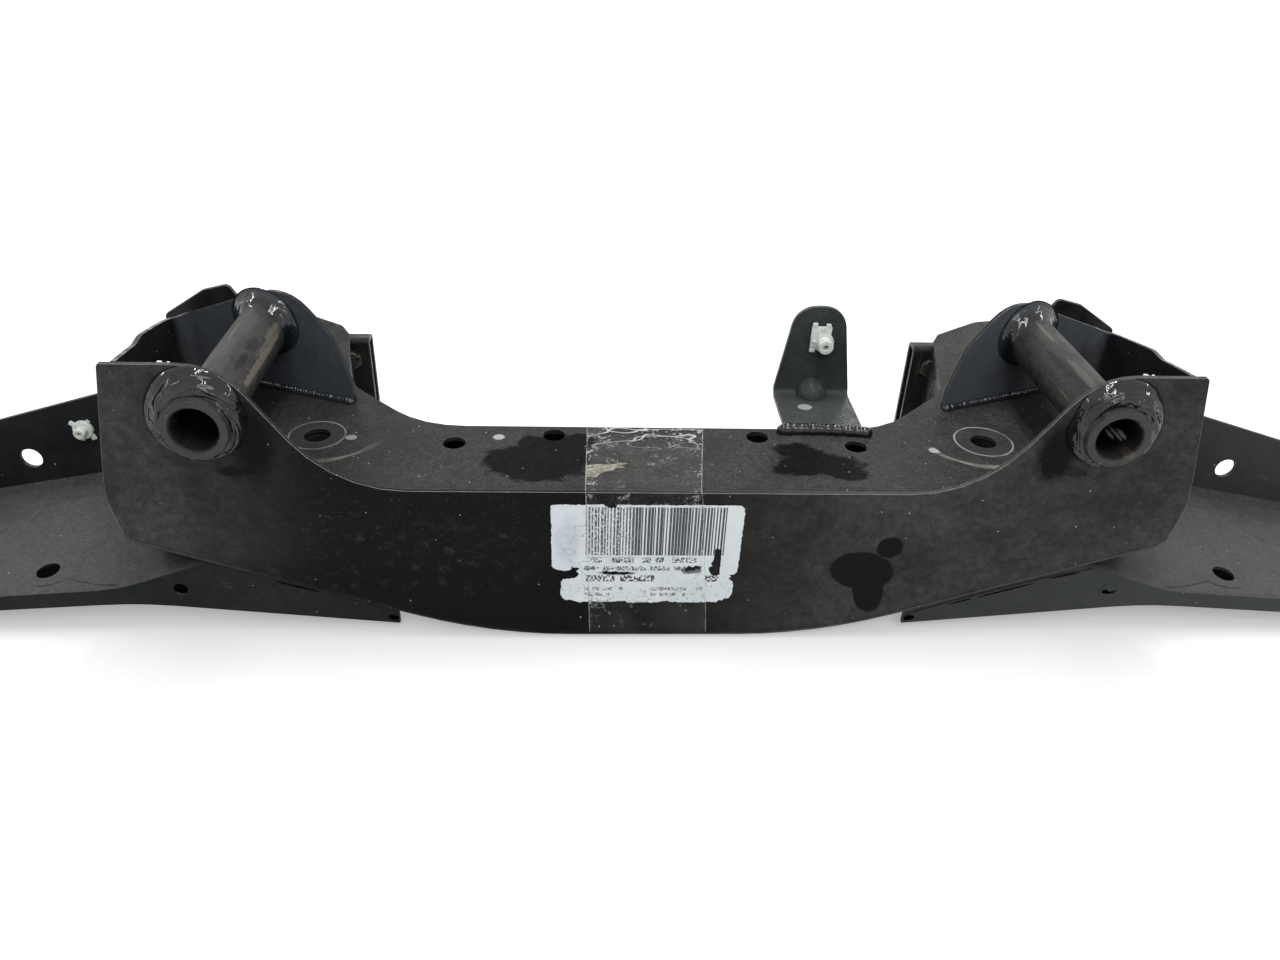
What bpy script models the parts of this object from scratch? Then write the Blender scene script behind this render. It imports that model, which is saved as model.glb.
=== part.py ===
"""Pressed-steel subframe: a box cross member with raised ears, two bolt sleeves, two arms and two wings.

Sizes are in millimetres and are turned into metres where a mesh is made.
x runs to the right, y runs back from the front plate's face and z is the height above the ground.
The finished model is centred on its length and depth, and stands on z = 0.
"""
from math import atan2, cos, hypot, pi, radians, sin, tan

import bpy
from mathutils import Vector

MM = 0.001

# Sheet, clearances and how finely curves are divided
SHEET = 2.6
GAP = 0.3
ARC_STEP = radians(12)
ARC_CHORD = 16.0
ROUND_SIDES = 40
HEX_SIDES = 24
WALL_STEP = 9.0

# Cross member
BOX_HEIGHT = 102.0
BOX_DEPTH = 71.0
ROLL_RADIUS = 6.0
BOTTOM_SLOPE = radians(18.9)
BOTTOM_FOOT_X = 95.0
BOTTOM_RADIUS = 280.0

# Ears of the front plate
EAR_HEIGHT = 72.0
EAR_SLOPE = radians(56.0)
EAR_FOOT_X = 172.0
EAR_FOOT_RADIUS = 69.0
EAR_SHOULDER_RADIUS = 37.0
EAR_TOP_X = 276.7
EAR_WIDEST_X = 292.0
EAR_WIDEST_DROP = 8.0
EAR_CORNER_X = 286.5
EAR_SIDE_RADIUS = 60.0
EAR_CORNER_RADIUS = 10.0

# Sleeves through the ears
SLEEVE_X = 232.6
SLEEVE_RISE = 42.3
SLEEVE_RADIUS = 14.5
BORE_RADIUS = 11.75
COLLAR_RADIUS = 17.0
COLLAR_REACH = 12.0
COLLAR_CHAMFER = 1.2
WELD_LEG = 9.0
WELD_LENGTH = 7.5

# Rear ear plates: a dome that carries the sleeve, folded forward into a side wall
DOME_X = 181.0
DOME_Y = 97.0
FOLD_X = 296.0
FOLD_Y = 141.5
FOLD_RADIUS = 8.0
DOME_LOW_EDGE = 12.0
DOME_SHOULDER = (9.6, 40.8, 15.0)
DOME_CREST = (39.5, 69.4, 29.0)
DOME_TOOL_REACH = 20.0
FOLD_RISE = 37.5
WALL_WAIST = ((75.0, 58.0), (92.0, 59.5))
WALL_FRONT_RISE = 72.0
WALL_INSET = 9.0
WALL_SPLAY = 0.139
WALL_FOOT_RISE = 66.0
WALL_FOOT_SLOPE = 0.55
EAR_STEP = 5.0

# Plate behind each dome
BACK_PLATE_Y = 148.0
BACK_PLATE_INNER_X = 249.0
BACK_PLATE_PEAK_X = 266.0
BACK_PLATE_PEAK_RISE = 54.5
BACK_PLATE_INNER_RISE = 33.0
BACK_PLATE_OUTER_RISE = 34.0

# Arms
ARM_OUTER_X = 304.0
ARM_END_Y = 240.0
ARM_SHOULDER_Y = 199.0
ARM_INNER_X = 205.0
ARM_WALL_DROP = 57.0
ARM_STEP = (7.0, 13.0, 8.0)
ARM_CORNER = (42.0, 4.0, 20.0)
ARM_END_INSET = 60.0
THROAT_START_X = 137.0
THROAT_START_RADIUS = 60.0
THROAT_END = (188.0, 122.0)
THROAT_END_RADIUS = 40.0

# Link brackets under the arms
LINK_X = (191.0, 235.0)
LINK_Y = (195.0, 208.0)
LINK_BEND = 4.0
LINK_BOLT_X = 203.0
LINK_BOLT_DROP = 17.5
LINK_BOLT_RADIUS = 3.0
LINK_BOLT_HEAD = 5.6
LINK_BOLT_HEAD_LENGTH = 4.0
LINK_BOLT_END = 3.0

# Holes of the top plate
BOLT_HOLE_X = 195.5
BOLT_HOLE_Y = 61.0
BOLT_HOLE_RADIUS = 7.7
DISH_RADIUS = 35.0
DISH_DEPTH = 1.5
NUT_FLATS = 23.0
NUT_LENGTH = 12.0
NUT_BORE_RADIUS = 6.2
SMALL_HOLES = ((59.5, 61.0), (116.0, 51.0))
SMALL_HOLE_RADIUS = 6.6

# Wings
WING_END_X = 470.0
WING_BACK_Y = 125.0
WING_WALL_X = 299.0
WING_WALL_RAMP = 3.0
WING_BEND = 4.0
WING_TONGUE_X = 148.0
LAP_DEPTH = 12.0
LAP_END_X = 222.0
FLOOR_FULL_X = 228.0
FLOOR_SLOPE = ((238.8, 54.6), (303.0, 31.0), (470.0, 18.0))
FLOOR_SLOPE_RADIUS = 80.0
GUTTER_SLOPE = ((262.0, 48.0), (470.0, 8.5))
SKIRT_EDGE = ((148.0, 6.5), (293.0, 21.0), (470.0, 8.7))
SKIRT_EDGE_RADIUS = 200.0
WING_WALL_TOP = ((302.0, 104.6), (452.0, 59.9), (470.0, 30.0))
WING_WALL_TOP_RADIUS = 25.0
GUTTER_DEPTH = 3.0
PLATEAU_BACK = ((148.0, 96.0), (384.0, 96.0), (398.0, 64.0), (470.0, 30.0))
FLOOR_HOLE = (350.0, 26.5, 6.5)
FLOOR_HOLE_TOOL_Z = (5.0, 60.0)
WALL_HOLE = (400.0, 44.0, 7.0)
SKIRT_HOLE = (268.0, 31.0, 4.0)
BOTTOM_END_X = 236.0

# Cable bracket on the rear edge
CABLE_X = 100.0
CABLE_WIDTH = 47.0
CABLE_TOP_WIDTH = 31.5
CABLE_HEIGHT = 61.0
CABLE_LAP = 5.0
CABLE_TAB_Y = 112.0
CABLE_BEND = 4.0
CABLE_GUSSET = ((-9.0, 4.0), (-4.5, 10.0), (4.5, 10.0), (9.0, 4.0))

# Clips, label
CLIP_PLATE = (15.0, 2.4, 19.0)
CLIP_BARREL_RADIUS = 5.2
CLIP_BARREL_LENGTH = 8.0
CLIP_HOLE_RADIUS = 1.7
CLIP_BARREL_DROP = 3.0
CABLE_CLIP = (102.0, 41.0)
WING_CLIP = (-361.0, 66.6)
EDGE_CLIP_X = 246.6
EDGE_CLIP = (6.5, 2.4, 7.0)
LABEL = (105.0, 67.5)
LABEL_CENTRE_X = -7.1
LABEL_DROP = 7.5
LABEL_THICKNESS = 0.3
LABEL_CORNER = 2.0

# Values that follow from the sizes above
MIDDLE_Y = (ARM_END_Y - COLLAR_REACH) / 2
EAR_TOP = BOX_HEIGHT + EAR_HEIGHT
SLEEVE_Z = BOX_HEIGHT + SLEEVE_RISE
SKIRT_Y = ROLL_RADIUS + GAP
UNDER_TOP = BOX_HEIGHT - SHEET - GAP
ON_TOP = BOX_HEIGHT + GAP
BEHIND_FRONT = SHEET + GAP
DOME_LEAN = (FOLD_Y - DOME_Y) / (FOLD_X - DOME_X)
DOME_LENGTH = hypot(FOLD_X - DOME_X, FOLD_Y - DOME_Y)


def clear_scene():
    """Removes every object, so that the script can be run again."""
    for old in list(bpy.data.objects):
        bpy.data.objects.remove(old, do_unlink=True)


def finish(name, colour, roughness, metallic=0.0):
    """A Principled material."""
    material = bpy.data.materials.new(name)
    material.use_nodes = True
    shader = material.node_tree.nodes["Principled BSDF"]
    shader.inputs["Base Color"].default_value = (*colour, 1.0)
    shader.inputs["Roughness"].default_value = roughness
    shader.inputs["Metallic"].default_value = metallic
    return material


def world(x, y, z):
    """A point of the part, in metres in the finished model's frame."""
    return Vector((x, y - MIDDLE_Y, z)) * MM


def add_mesh(name, points, faces, material, smooth_angle=None):
    """One mesh object from points in millimetres."""
    mesh = bpy.data.meshes.new(name)
    mesh.from_pydata([world(*point) for point in points], [], faces)
    mesh.validate()
    if smooth_angle is not None:
        mesh.shade_smooth()
        mesh.set_sharp_from_angle(angle=smooth_angle)
    if material is not None:
        mesh.materials.append(material)
    piece = bpy.data.objects.new(name, mesh)
    bpy.context.scene.collection.objects.link(piece)
    return piece


def signed_volume(points, faces):
    """Volume of a closed mesh: positive when its faces point outwards."""
    total = 0.0
    for face in faces:
        first = Vector(points[face[0]])
        for second, third in zip(face[1:], face[2:]):
            total += first.dot(Vector(points[second]).cross(Vector(points[third]))) / 6
    return total


def solid(name, points, faces, material, smooth_angle=None):
    """A closed mesh whose faces are turned to point outwards."""
    if signed_volume(points, faces) < 0:
        faces = [tuple(reversed(face)) for face in faces]
    return add_mesh(name, points, faces, material, smooth_angle)


def loft(name, rings, material, smooth_angle=radians(30)):
    """A closed solid through rings of equal count, with both ends capped."""
    count = len(rings[0])
    points = [point for ring in rings for point in ring]
    faces = []
    for row in range(len(rings) - 1):
        for column in range(count):
            following = (column + 1) % count
            faces.append((row * count + column, row * count + following,
                          (row + 1) * count + following, (row + 1) * count + column))
    faces.append(tuple(reversed(range(count))))
    faces.append(tuple(range((len(rings) - 1) * count, len(rings) * count)))
    return solid(name, points, faces, material, smooth_angle)


def ring_about(centre, radius, y, lean=0.0, sides=ROUND_SIDES, six_sided=False):
    """A circle or hexagon about a line along y. lean shears it back with x, to lie on a slanting plate."""
    points = []
    for side in range(sides):
        angle = 2 * pi * side / sides
        reach = radius / cos((angle + pi / 6) % (pi / 3) - pi / 6) if six_sided else radius
        across = reach * cos(angle)
        points.append((centre[0] + across, y + lean * across, centre[1] + reach * sin(angle)))
    return points


def turned(name, centre, profile, material, lean=0.0):
    """A hollow ring about a line along y: profile holds closed (radius, y) steps around its section."""
    points = [point for radius, y in profile for point in ring_about(centre, radius, y, lean)]
    faces = []
    for step in range(len(profile)):
        after = (step + 1) % len(profile)
        for side in range(ROUND_SIDES):
            following = (side + 1) % ROUND_SIDES
            faces.append((step * ROUND_SIDES + side, step * ROUND_SIDES + following,
                          after * ROUND_SIDES + following, after * ROUND_SIDES + side))
    return solid(name, points, faces, material, radians(30))


def drum(name, start, end, radius, end_radius=None, sides=ROUND_SIDES):
    """Rings of a cylinder or cone between two points on a line along one axis."""
    low, high = Vector(start), Vector(end)
    along = (high - low).normalized()
    side_a = along.orthogonal().normalized()
    side_b = along.cross(side_a)
    rings = []
    for middle, reach in ((low, radius), (high, end_radius or radius)):
        rings.append([tuple(middle + reach * (cos(2 * pi * side / sides) * side_a
                                              + sin(2 * pi * side / sides) * side_b))
                      for side in range(sides)])
    return loft(name, rings, None)


def use_tool(piece, tool, operation):
    """Cuts, joins or intersects a piece with a tool that stays in the scene as a guide."""
    change = piece.modifiers.new(tool.name, "BOOLEAN")
    change.operation = operation
    change.solver = "EXACT"
    change.object = tool
    tool.hide_render = True
    tool.display_type = "WIRE"
    tool.parent = piece


def rounded(corners, closed=False):
    """Points along (u, v, radius) corners, with an arc of that radius at each one that has it."""
    count = len(corners)
    points = []
    for index, corner in enumerate(corners):
        here = Vector(corner[:2])
        radius = corner[2] if len(corner) > 2 else 0.0
        if radius == 0.0 or (not closed and index in (0, count - 1)):
            points.append(tuple(here))
            continue
        before = (Vector(corners[index - 1][:2]) - here).normalized()
        after = (Vector(corners[(index + 1) % count][:2]) - here).normalized()
        half = before.angle(after) / 2
        centre = here + (before + after).normalized() * (radius / sin(half))
        start = here + before * (radius / tan(half)) - centre
        turn = pi - 2 * half
        steps = max(2, round(turn / ARC_STEP), round(radius * turn / ARC_CHORD))
        if before.x * after.y > before.y * after.x:
            turn = -turn
        angle = atan2(start.y, start.x)
        for step in range(steps + 1):
            points.append((centre.x + radius * cos(angle + turn * step / steps),
                           centre.y + radius * sin(angle + turn * step / steps)))
    return points


def value_on(path, u):
    """Height of a left-to-right path at u."""
    if u <= path[0][0]:
        return path[0][1]
    for (u0, v0), (u1, v1) in zip(path, path[1:]):
        if u <= u1 and u1 > u0:
            return v0 + (v1 - v0) * (u - u0) / (u1 - u0)
    return path[-1][1]


def offset(path, distance):
    """An open path moved to its right side, with mitred corners."""
    moved = []
    for index, point in enumerate(path):
        here = Vector(point)
        into = (here - Vector(path[index - 1])).normalized() if index > 0 else None
        out = (Vector(path[index + 1]) - here).normalized() if index < len(path) - 1 else None
        into, out = into or out, out or into
        normal = Vector((into.y + out.y, -into.x - out.x)).normalized()
        stretch = normal.dot(Vector((into.y, -into.x)))
        moved.append(tuple(here + normal * (distance / stretch)))
    return moved


def path_length(path):
    """Length along a path."""
    return sum(hypot(b[0] - a[0], b[1] - a[1]) for a, b in zip(path, path[1:]))


def subdivided(path, longest):
    """A path with further points, so that no step is longer than longest."""
    points = [path[0]]
    for (u0, v0), (u1, v1) in zip(path, path[1:]):
        count = max(1, round(hypot(u1 - u0, v1 - v0) / longest))
        points += [(u0 + (u1 - u0) * step / count, v0 + (v1 - v0) * step / count)
                   for step in range(1, count + 1)]
    return points


def spread(values, least):
    """Sorted values without those closer than least to the one before."""
    kept = []
    for value in sorted(values):
        if not kept or value - kept[-1] >= least:
            kept.append(value)
    return kept


def extruded(name, outline, thickness_span, to_point, material):
    """A flat outline given thickness: to_point turns (u, v, depth) into x, y, z."""
    rings = [[to_point(u, v, depth) for u, v in outline] for depth in thickness_span]
    return loft(name, rings, material)


def flat(u, v, depth):
    return (u, v, depth)


def upright(u, v, depth):
    return (u, depth, v)


def pair(label, build, material):
    """Builds a left and a right piece: build takes the name, the side's sign and the material."""
    for side, sign in (("left", -1), ("right", 1)):
        build(f"{side}_{label}", sign, material)


def front_outline():
    """Right half of the front plate: from the middle of its top edge round to the middle below."""
    shoulder_x = EAR_FOOT_X + EAR_HEIGHT / tan(EAR_SLOPE)
    corner_z = (EAR_CORNER_X - BOTTOM_FOOT_X) * tan(BOTTOM_SLOPE)
    return rounded([(0.0, BOX_HEIGHT),
                    (EAR_FOOT_X, BOX_HEIGHT, EAR_FOOT_RADIUS),
                    (shoulder_x, EAR_TOP, EAR_SHOULDER_RADIUS),
                    (EAR_TOP_X, EAR_TOP, 2.0),
                    (EAR_WIDEST_X, BOX_HEIGHT - EAR_WIDEST_DROP, EAR_SIDE_RADIUS),
                    (EAR_CORNER_X, corner_z, EAR_CORNER_RADIUS),
                    (BOTTOM_FOOT_X, 0.0, BOTTOM_RADIUS),
                    (0.0, 0.0)])


OUTLINE = front_outline()
TURNING_POINT = max(range(len(OUTLINE)), key=lambda index: OUTLINE[index][0])
TOP_EDGE = OUTLINE[:TURNING_POINT + 1]
BOTTOM_EDGE = OUTLINE[TURNING_POINT:][::-1]


def bottom_z(x):
    """Underside of the box at x."""
    return value_on(BOTTOM_EDGE, abs(x))


def front_section(x):
    """Closed y, z section of the front plate at x, with its lower edge rolled back."""
    top = value_on(TOP_EDGE, x)
    roll = bottom_z(x) + ROLL_RADIUS
    outer, inner = [], []
    for step in range(5):
        angle = pi / 2 * step / 4
        outer.append((ROLL_RADIUS * (1 - cos(angle)), roll - ROLL_RADIUS * sin(angle)))
        small = ROLL_RADIUS - SHEET
        inner.append((ROLL_RADIUS - small * cos(angle), roll - small * sin(angle)))
    return [(0.0, top)] + outer + inner[::-1] + [(SHEET, top)]


def build_front_plate(material):
    """The closing plate across the front, with both ears."""
    last = OUTLINE[TURNING_POINT][0] - 0.6
    half = spread([0.0] + [x for x, _ in OUTLINE if x < last - 0.5] + [last], 0.5)
    stations = [-x for x in half[:0:-1]] + half
    rings = [[(x, y, z) for y, z in front_section(abs(x))] for x in stations]
    plate = loft("front_plate", rings, material)
    for sign in (-1, 1):
        tool = drum(f"front_hole_{sign:+d}", (sign * SLEEVE_X, -5, SLEEVE_Z),
                    (sign * SLEEVE_X, SHEET + 5, SLEEVE_Z), SLEEVE_RADIUS + GAP)
        use_tool(plate, tool, "DIFFERENCE")
    return plate


def throat():
    """Right half of the rear edge: from the middle round into the arm and up to its shoulder."""
    return rounded([(0.0, BOX_DEPTH),
                    (THROAT_START_X, BOX_DEPTH, THROAT_START_RADIUS),
                    (*THROAT_END, THROAT_END_RADIUS),
                    (ARM_INNER_X, ARM_SHOULDER_Y)])


THROAT = throat()


def side_wall_x(y, z):
    """Inner face of the side wall."""
    front_x = EAR_TOP_X - WALL_INSET
    share = (FOLD_Y - y) / FOLD_Y
    at_top = FOLD_X + (front_x - FOLD_X) * share
    return at_top + WALL_SPLAY * share * (BOX_HEIGHT + EAR_HEIGHT - z)


def build_top_plate(material):
    """The top sheet of the box with both arms."""
    edge_x = side_wall_x(BEHIND_FRONT, BOX_HEIGHT) - 2 * GAP
    fold_x = FOLD_X - 2 * GAP - 2.0
    behind_fold = FOLD_Y + SHEET + 2 * GAP
    half = THROAT[1:] + rounded([(ARM_INNER_X, ARM_SHOULDER_Y),
                                 (ARM_INNER_X + ARM_STEP[0], ARM_SHOULDER_Y + ARM_STEP[1], ARM_STEP[2]),
                                 (ARM_INNER_X + ARM_CORNER[0], ARM_END_Y - ARM_CORNER[1], ARM_CORNER[2]),
                                 (ARM_INNER_X + ARM_END_INSET, ARM_END_Y),
                                 (ARM_OUTER_X, ARM_END_Y, 8.0),
                                 (ARM_OUTER_X, behind_fold),
                                 (fold_x, behind_fold),
                                 (fold_x, FOLD_Y - FOLD_RADIUS),
                                 (edge_x, BEHIND_FRONT)])[1:]
    outline = half + [(-x, y) for x, y in reversed(half)]
    plate = extruded("top_plate", outline, (BOX_HEIGHT - SHEET, BOX_HEIGHT), flat, material)
    under = BOX_HEIGHT - SHEET
    for sign in (-1, 1):
        x = sign * BOLT_HOLE_X
        boss = drum(f"dish_boss_{sign:+d}", (x, BOLT_HOLE_Y, under - DISH_DEPTH),
                    (x, BOLT_HOLE_Y, under + SHEET / 2), DISH_RADIUS - 3 + SHEET / 2, DISH_RADIUS + SHEET)
        use_tool(plate, boss, "UNION")
    for sign in (-1, 1):
        x = sign * BOLT_HOLE_X
        pocket = drum(f"dish_pocket_{sign:+d}", (x, BOLT_HOLE_Y, BOX_HEIGHT - DISH_DEPTH),
                      (x, BOLT_HOLE_Y, BOX_HEIGHT + DISH_DEPTH), DISH_RADIUS - 3, DISH_RADIUS + 3)
        use_tool(plate, pocket, "DIFFERENCE")
        for number, (x, y, radius) in enumerate(((x, BOLT_HOLE_Y, BOLT_HOLE_RADIUS),
                                                 *((sign * hole_x, hole_y, SMALL_HOLE_RADIUS)
                                                   for hole_x, hole_y in SMALL_HOLES))):
            tool = drum(f"top_hole_{number}_{sign:+d}", (x, y, under - 10), (x, y, BOX_HEIGHT + 10),
                        radius, sides=20)
            use_tool(plate, tool, "DIFFERENCE")
    return plate


def build_rear_wall(material):
    """The upright wall under the rear edge, which runs on along the inside of each arm."""
    end_y = LINK_Y[0] - LINK_BOLT_HEAD_LENGTH - 3 * GAP
    line = [(x, y) for x, y in THROAT if y < end_y - 1]
    end_x = ARM_INNER_X - (ARM_SHOULDER_Y - end_y) * (ARM_INNER_X - THROAT_END[0]) / (
        ARM_SHOULDER_Y - THROAT_END[1])
    half = line + [(end_x, end_y)]
    path = subdivided([(-x, y) for x, y in half[:0:-1]] + half, WALL_STEP)
    inner = offset(path, SHEET)
    rings = []
    for (x, y), (in_x, in_y) in zip(path, inner):
        low = bottom_z(max(abs(x), abs(in_x))) + SHEET + GAP
        if y > bottom_back_y(BOTTOM_END_X):
            low = max(low, UNDER_TOP - ARM_WALL_DROP)
        rings.append([(x, y, UNDER_TOP), (x, y, low), (in_x, in_y, low), (in_x, in_y, UNDER_TOP)])
    return loft("rear_wall", rings, material)


def bottom_back_y(x):
    """Rear edge of the bottom plate at x."""
    return min(value_on(THROAT, abs(x)), WING_BACK_Y - 10)


def build_bottom_plate(material):
    """The bottom sheet of the box, which follows the lower edge of the front plate."""
    marks = [x for x, _ in BOTTOM_EDGE] + [x for x, _ in THROAT]
    marks += [WING_TONGUE_X - 2, WING_TONGUE_X - 1]
    half = spread([x for x in marks if x < BOTTOM_END_X - 2] + [BOTTOM_END_X], 1.0)
    rings = []
    for x in [-x for x in half[:0:-1]] + half:
        front = SKIRT_Y if abs(x) < WING_TONGUE_X - 1.5 else SKIRT_Y + 2 * SHEET
        back = bottom_back_y(x)
        low = bottom_z(x)
        rings.append([(x, front, low), (x, back, low), (x, back, low + SHEET), (x, front, low + SHEET)])
    return loft("bottom_plate", rings, material)


def lap_z(x):
    """Top face of the wing where it lies on the bottom plate."""
    return bottom_z(x) + 2 * SHEET + GAP


def ramp(x, start, end):
    """0 up to start, 1 from end on, and a straight rise between."""
    return min(1.0, max(0.0, (x - start) / (end - start)))


def wing_section(x):
    """Upper line of the wing's section at x, from the skirt's lower edge back to the wall's top."""
    slope = rounded([FLOOR_SLOPE[0], (*FLOOR_SLOPE[1], FLOOR_SLOPE_RADIUS), FLOOR_SLOPE[2]])
    low = rounded([SKIRT_EDGE[0], (*SKIRT_EDGE[1], SKIRT_EDGE_RADIUS), SKIRT_EDGE[2]])
    wall = rounded([WING_WALL_TOP[0], (*WING_WALL_TOP[1], WING_WALL_TOP_RADIUS), WING_WALL_TOP[2]])
    fold = lap_z(x) if x < FLOOR_SLOPE[0][0] else min(lap_z(x), value_on(slope, x))
    full = ramp(x, LAP_END_X, FLOOR_FULL_X)
    sinking = ramp(x, FLOOR_SLOPE[0][0], GUTTER_SLOPE[0][0])
    standing = ramp(x, WING_WALL_X, WING_WALL_X + WING_WALL_RAMP)
    dip = GUTTER_DEPTH * ramp(x, GUTTER_SLOPE[0][0], WING_WALL_X)
    back = SKIRT_Y + LAP_DEPTH + (WING_BACK_Y - SKIRT_Y - LAP_DEPTH) * full
    gutter = fold + (value_on(GUTTER_SLOPE, x) - fold) * sinking
    lip = gutter + WING_BEND * full
    top = lip + 0.6 * full + (value_on(wall, x) - lip - 0.6) * standing
    plateau = SKIRT_Y + 8 + (value_on(PLATEAU_BACK, x) - SKIRT_Y - 8) * full
    step = min(6.0, (back - plateau) / 3)
    plateau_z = fold + (gutter - fold) * (plateau - SKIRT_Y) / (back - SKIRT_Y) + dip
    return [(SKIRT_Y, value_on(low, x)),
            (SKIRT_Y, fold - 4.0),
            (SKIRT_Y + 1.2, fold - 1.2),
            (SKIRT_Y + 4.0, fold),
            (plateau, plateau_z),
            (plateau + step, plateau_z - 1.3 * dip),
            (back - 0.3 * step - 3 * full, gutter),
            (back - 0.1 * step * (1 - full), lip),
            (back, top)]


def build_wing(name, sign, material):
    """A wing: skirt in front, tray floor, and an upright wall at the back."""
    marks = [WING_TONGUE_X + 14.0 * step for step in range(int((WING_END_X - WING_TONGUE_X) / 14.0))]
    marks += [LAP_END_X, FLOOR_SLOPE[0][0], FLOOR_FULL_X, WING_WALL_X, WING_WALL_X + WING_WALL_RAMP]
    marks += [x for x, _ in PLATEAU_BACK[1:3]] + [x for x, _ in WING_WALL_TOP[1:]]
    rings = []
    for x in spread(marks, 3.0):
        upper = wing_section(x)
        ring = upper + offset(upper, SHEET)[::-1]
        rings.append([(sign * x, y, z) for y, z in ring])
    wing = loft(name, rings, material)
    x, y, radius = FLOOR_HOLE
    low, high = FLOOR_HOLE_TOOL_Z
    use_tool(wing, drum(f"{name}_floor_hole", (sign * x, y, low), (sign * x, y, high), radius, sides=20),
             "DIFFERENCE")
    x, z, radius = WALL_HOLE
    use_tool(wing, drum(f"{name}_wall_hole", (sign * x, WING_BACK_Y - 12, z),
                        (sign * x, WING_BACK_Y + 12, z), radius, sides=20), "DIFFERENCE")
    x, z, radius = SKIRT_HOLE
    use_tool(wing, drum(f"{name}_skirt_hole", (sign * x, SKIRT_Y - 6, z),
                        (sign * x, SKIRT_Y + 8, z), radius, sides=16), "DIFFERENCE")
    return wing


def wing_floor_z(x, y):
    """Height of the wing's upper face at a place on its floor."""
    return value_on(wing_section(x)[3:], y)


def build_ear_plate(name, sign, material):
    """Dome plate behind each sleeve, with the side wall that is folded forward from it."""
    front_y = BEHIND_FRONT + SHEET / 4
    front_x = side_wall_x(front_y, EAR_TOP)
    path = rounded([(DOME_X, DOME_Y), (FOLD_X, FOLD_Y, FOLD_RADIUS), (front_x, front_y)])
    dense = subdivided(path, EAR_STEP)
    waist_a, waist_b = WALL_WAIST
    length = DOME_LENGTH + hypot(FOLD_X - front_x, FOLD_Y - front_y)
    crown = rounded([(0.0, DOME_LOW_EDGE), DOME_SHOULDER, DOME_CREST,
                     (DOME_LENGTH, FOLD_RISE, 10.0), (DOME_LENGTH + waist_a[0], waist_a[1], 15.0),
                     (DOME_LENGTH + waist_b[0], waist_b[1], 15.0), (length, WALL_FRONT_RISE)])
    outer = offset(dense, -SHEET)
    rings, run = [], 0.0
    for index, ((x, y), (out_x, out_y)) in enumerate(zip(dense, outer)):
        if index:
            run += hypot(x - dense[index - 1][0], y - dense[index - 1][1])
        top = BOX_HEIGHT + value_on(crown, run * length / path_length(dense))
        past_fold = run > DOME_LENGTH + FOLD_RADIUS / 2
        low = ON_TOP
        if past_fold:
            floor = max(wing_floor_z(abs(out_x), y), wing_floor_z(abs(x), y)) + 2 * GAP
            low = max(floor, WALL_FOOT_RISE - WALL_FOOT_SLOPE * y)
        if y < SKIRT_Y + GAP:
            low = OUTLINE[TURNING_POINT][1] + GAP
        splay = WALL_SPLAY * max(0.0, (FOLD_Y - y) / FOLD_Y) if past_fold else 0.0
        low_x = splay * (EAR_TOP - low)
        high_x = splay * (EAR_TOP - top)
        ring = [(x + high_x, y, top), (x + low_x, y, low), (out_x + low_x, out_y, low),
                (out_x + high_x, out_y, top)]
        rings.append([(sign * px, py, pz) for px, py, pz in ring])
    plate = loft(name, rings, material)
    tool = drum(f"{name}_hole", (sign * SLEEVE_X, DOME_Y - DOME_TOOL_REACH, SLEEVE_Z),
                (sign * SLEEVE_X, FOLD_Y + DOME_TOOL_REACH, SLEEVE_Z), SLEEVE_RADIUS + GAP)
    use_tool(plate, tool, "DIFFERENCE")
    return plate


def dome_y(x):
    """Front face of the dome plate at x."""
    return DOME_Y + (abs(x) - DOME_X) * DOME_LEAN


def build_sleeve(name, sign, material):
    """The bolt sleeve, with a collar at its front end."""
    end = dome_y(SLEEVE_X + SLEEVE_RADIUS) + 2 * SHEET
    profile = [(BORE_RADIUS, -COLLAR_REACH), (COLLAR_RADIUS - COLLAR_CHAMFER, -COLLAR_REACH),
               (COLLAR_RADIUS, COLLAR_CHAMFER - COLLAR_REACH), (COLLAR_RADIUS, -GAP),
               (SLEEVE_RADIUS, -GAP), (SLEEVE_RADIUS, end), (BORE_RADIUS, end)]
    return turned(name, (sign * SLEEVE_X, SLEEVE_Z), profile, material)


def build_front_weld(name, sign, material):
    """The wide weld between collar and ear."""
    near = COLLAR_RADIUS + GAP
    far = near + WELD_LEG
    profile = [(near, -GAP), (near, -WELD_LENGTH), (near + 0.15 * WELD_LEG, -0.92 * WELD_LENGTH),
               (near + 0.45 * WELD_LEG, -0.5 * WELD_LENGTH), (near + 0.8 * WELD_LEG, -0.22 * WELD_LENGTH),
               (far, -0.12 * WELD_LENGTH), (far, -GAP)]
    return turned(name, (sign * SLEEVE_X, SLEEVE_Z), profile, material)


def build_rear_weld(name, sign, material):
    """The weld between sleeve and dome plate."""
    near = SLEEVE_RADIUS + GAP
    leg = 0.62 * WELD_LEG
    face = dome_y(SLEEVE_X) - GAP
    profile = [(near, face), (near, face - leg), (near + 0.25 * leg, face - 0.85 * leg),
               (near + 0.7 * leg, face - 0.4 * leg), (near + leg, face - 0.1 * leg), (near + leg, face)]
    return turned(name, (sign * SLEEVE_X, SLEEVE_Z), profile, material, lean=sign * DOME_LEAN)


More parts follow.
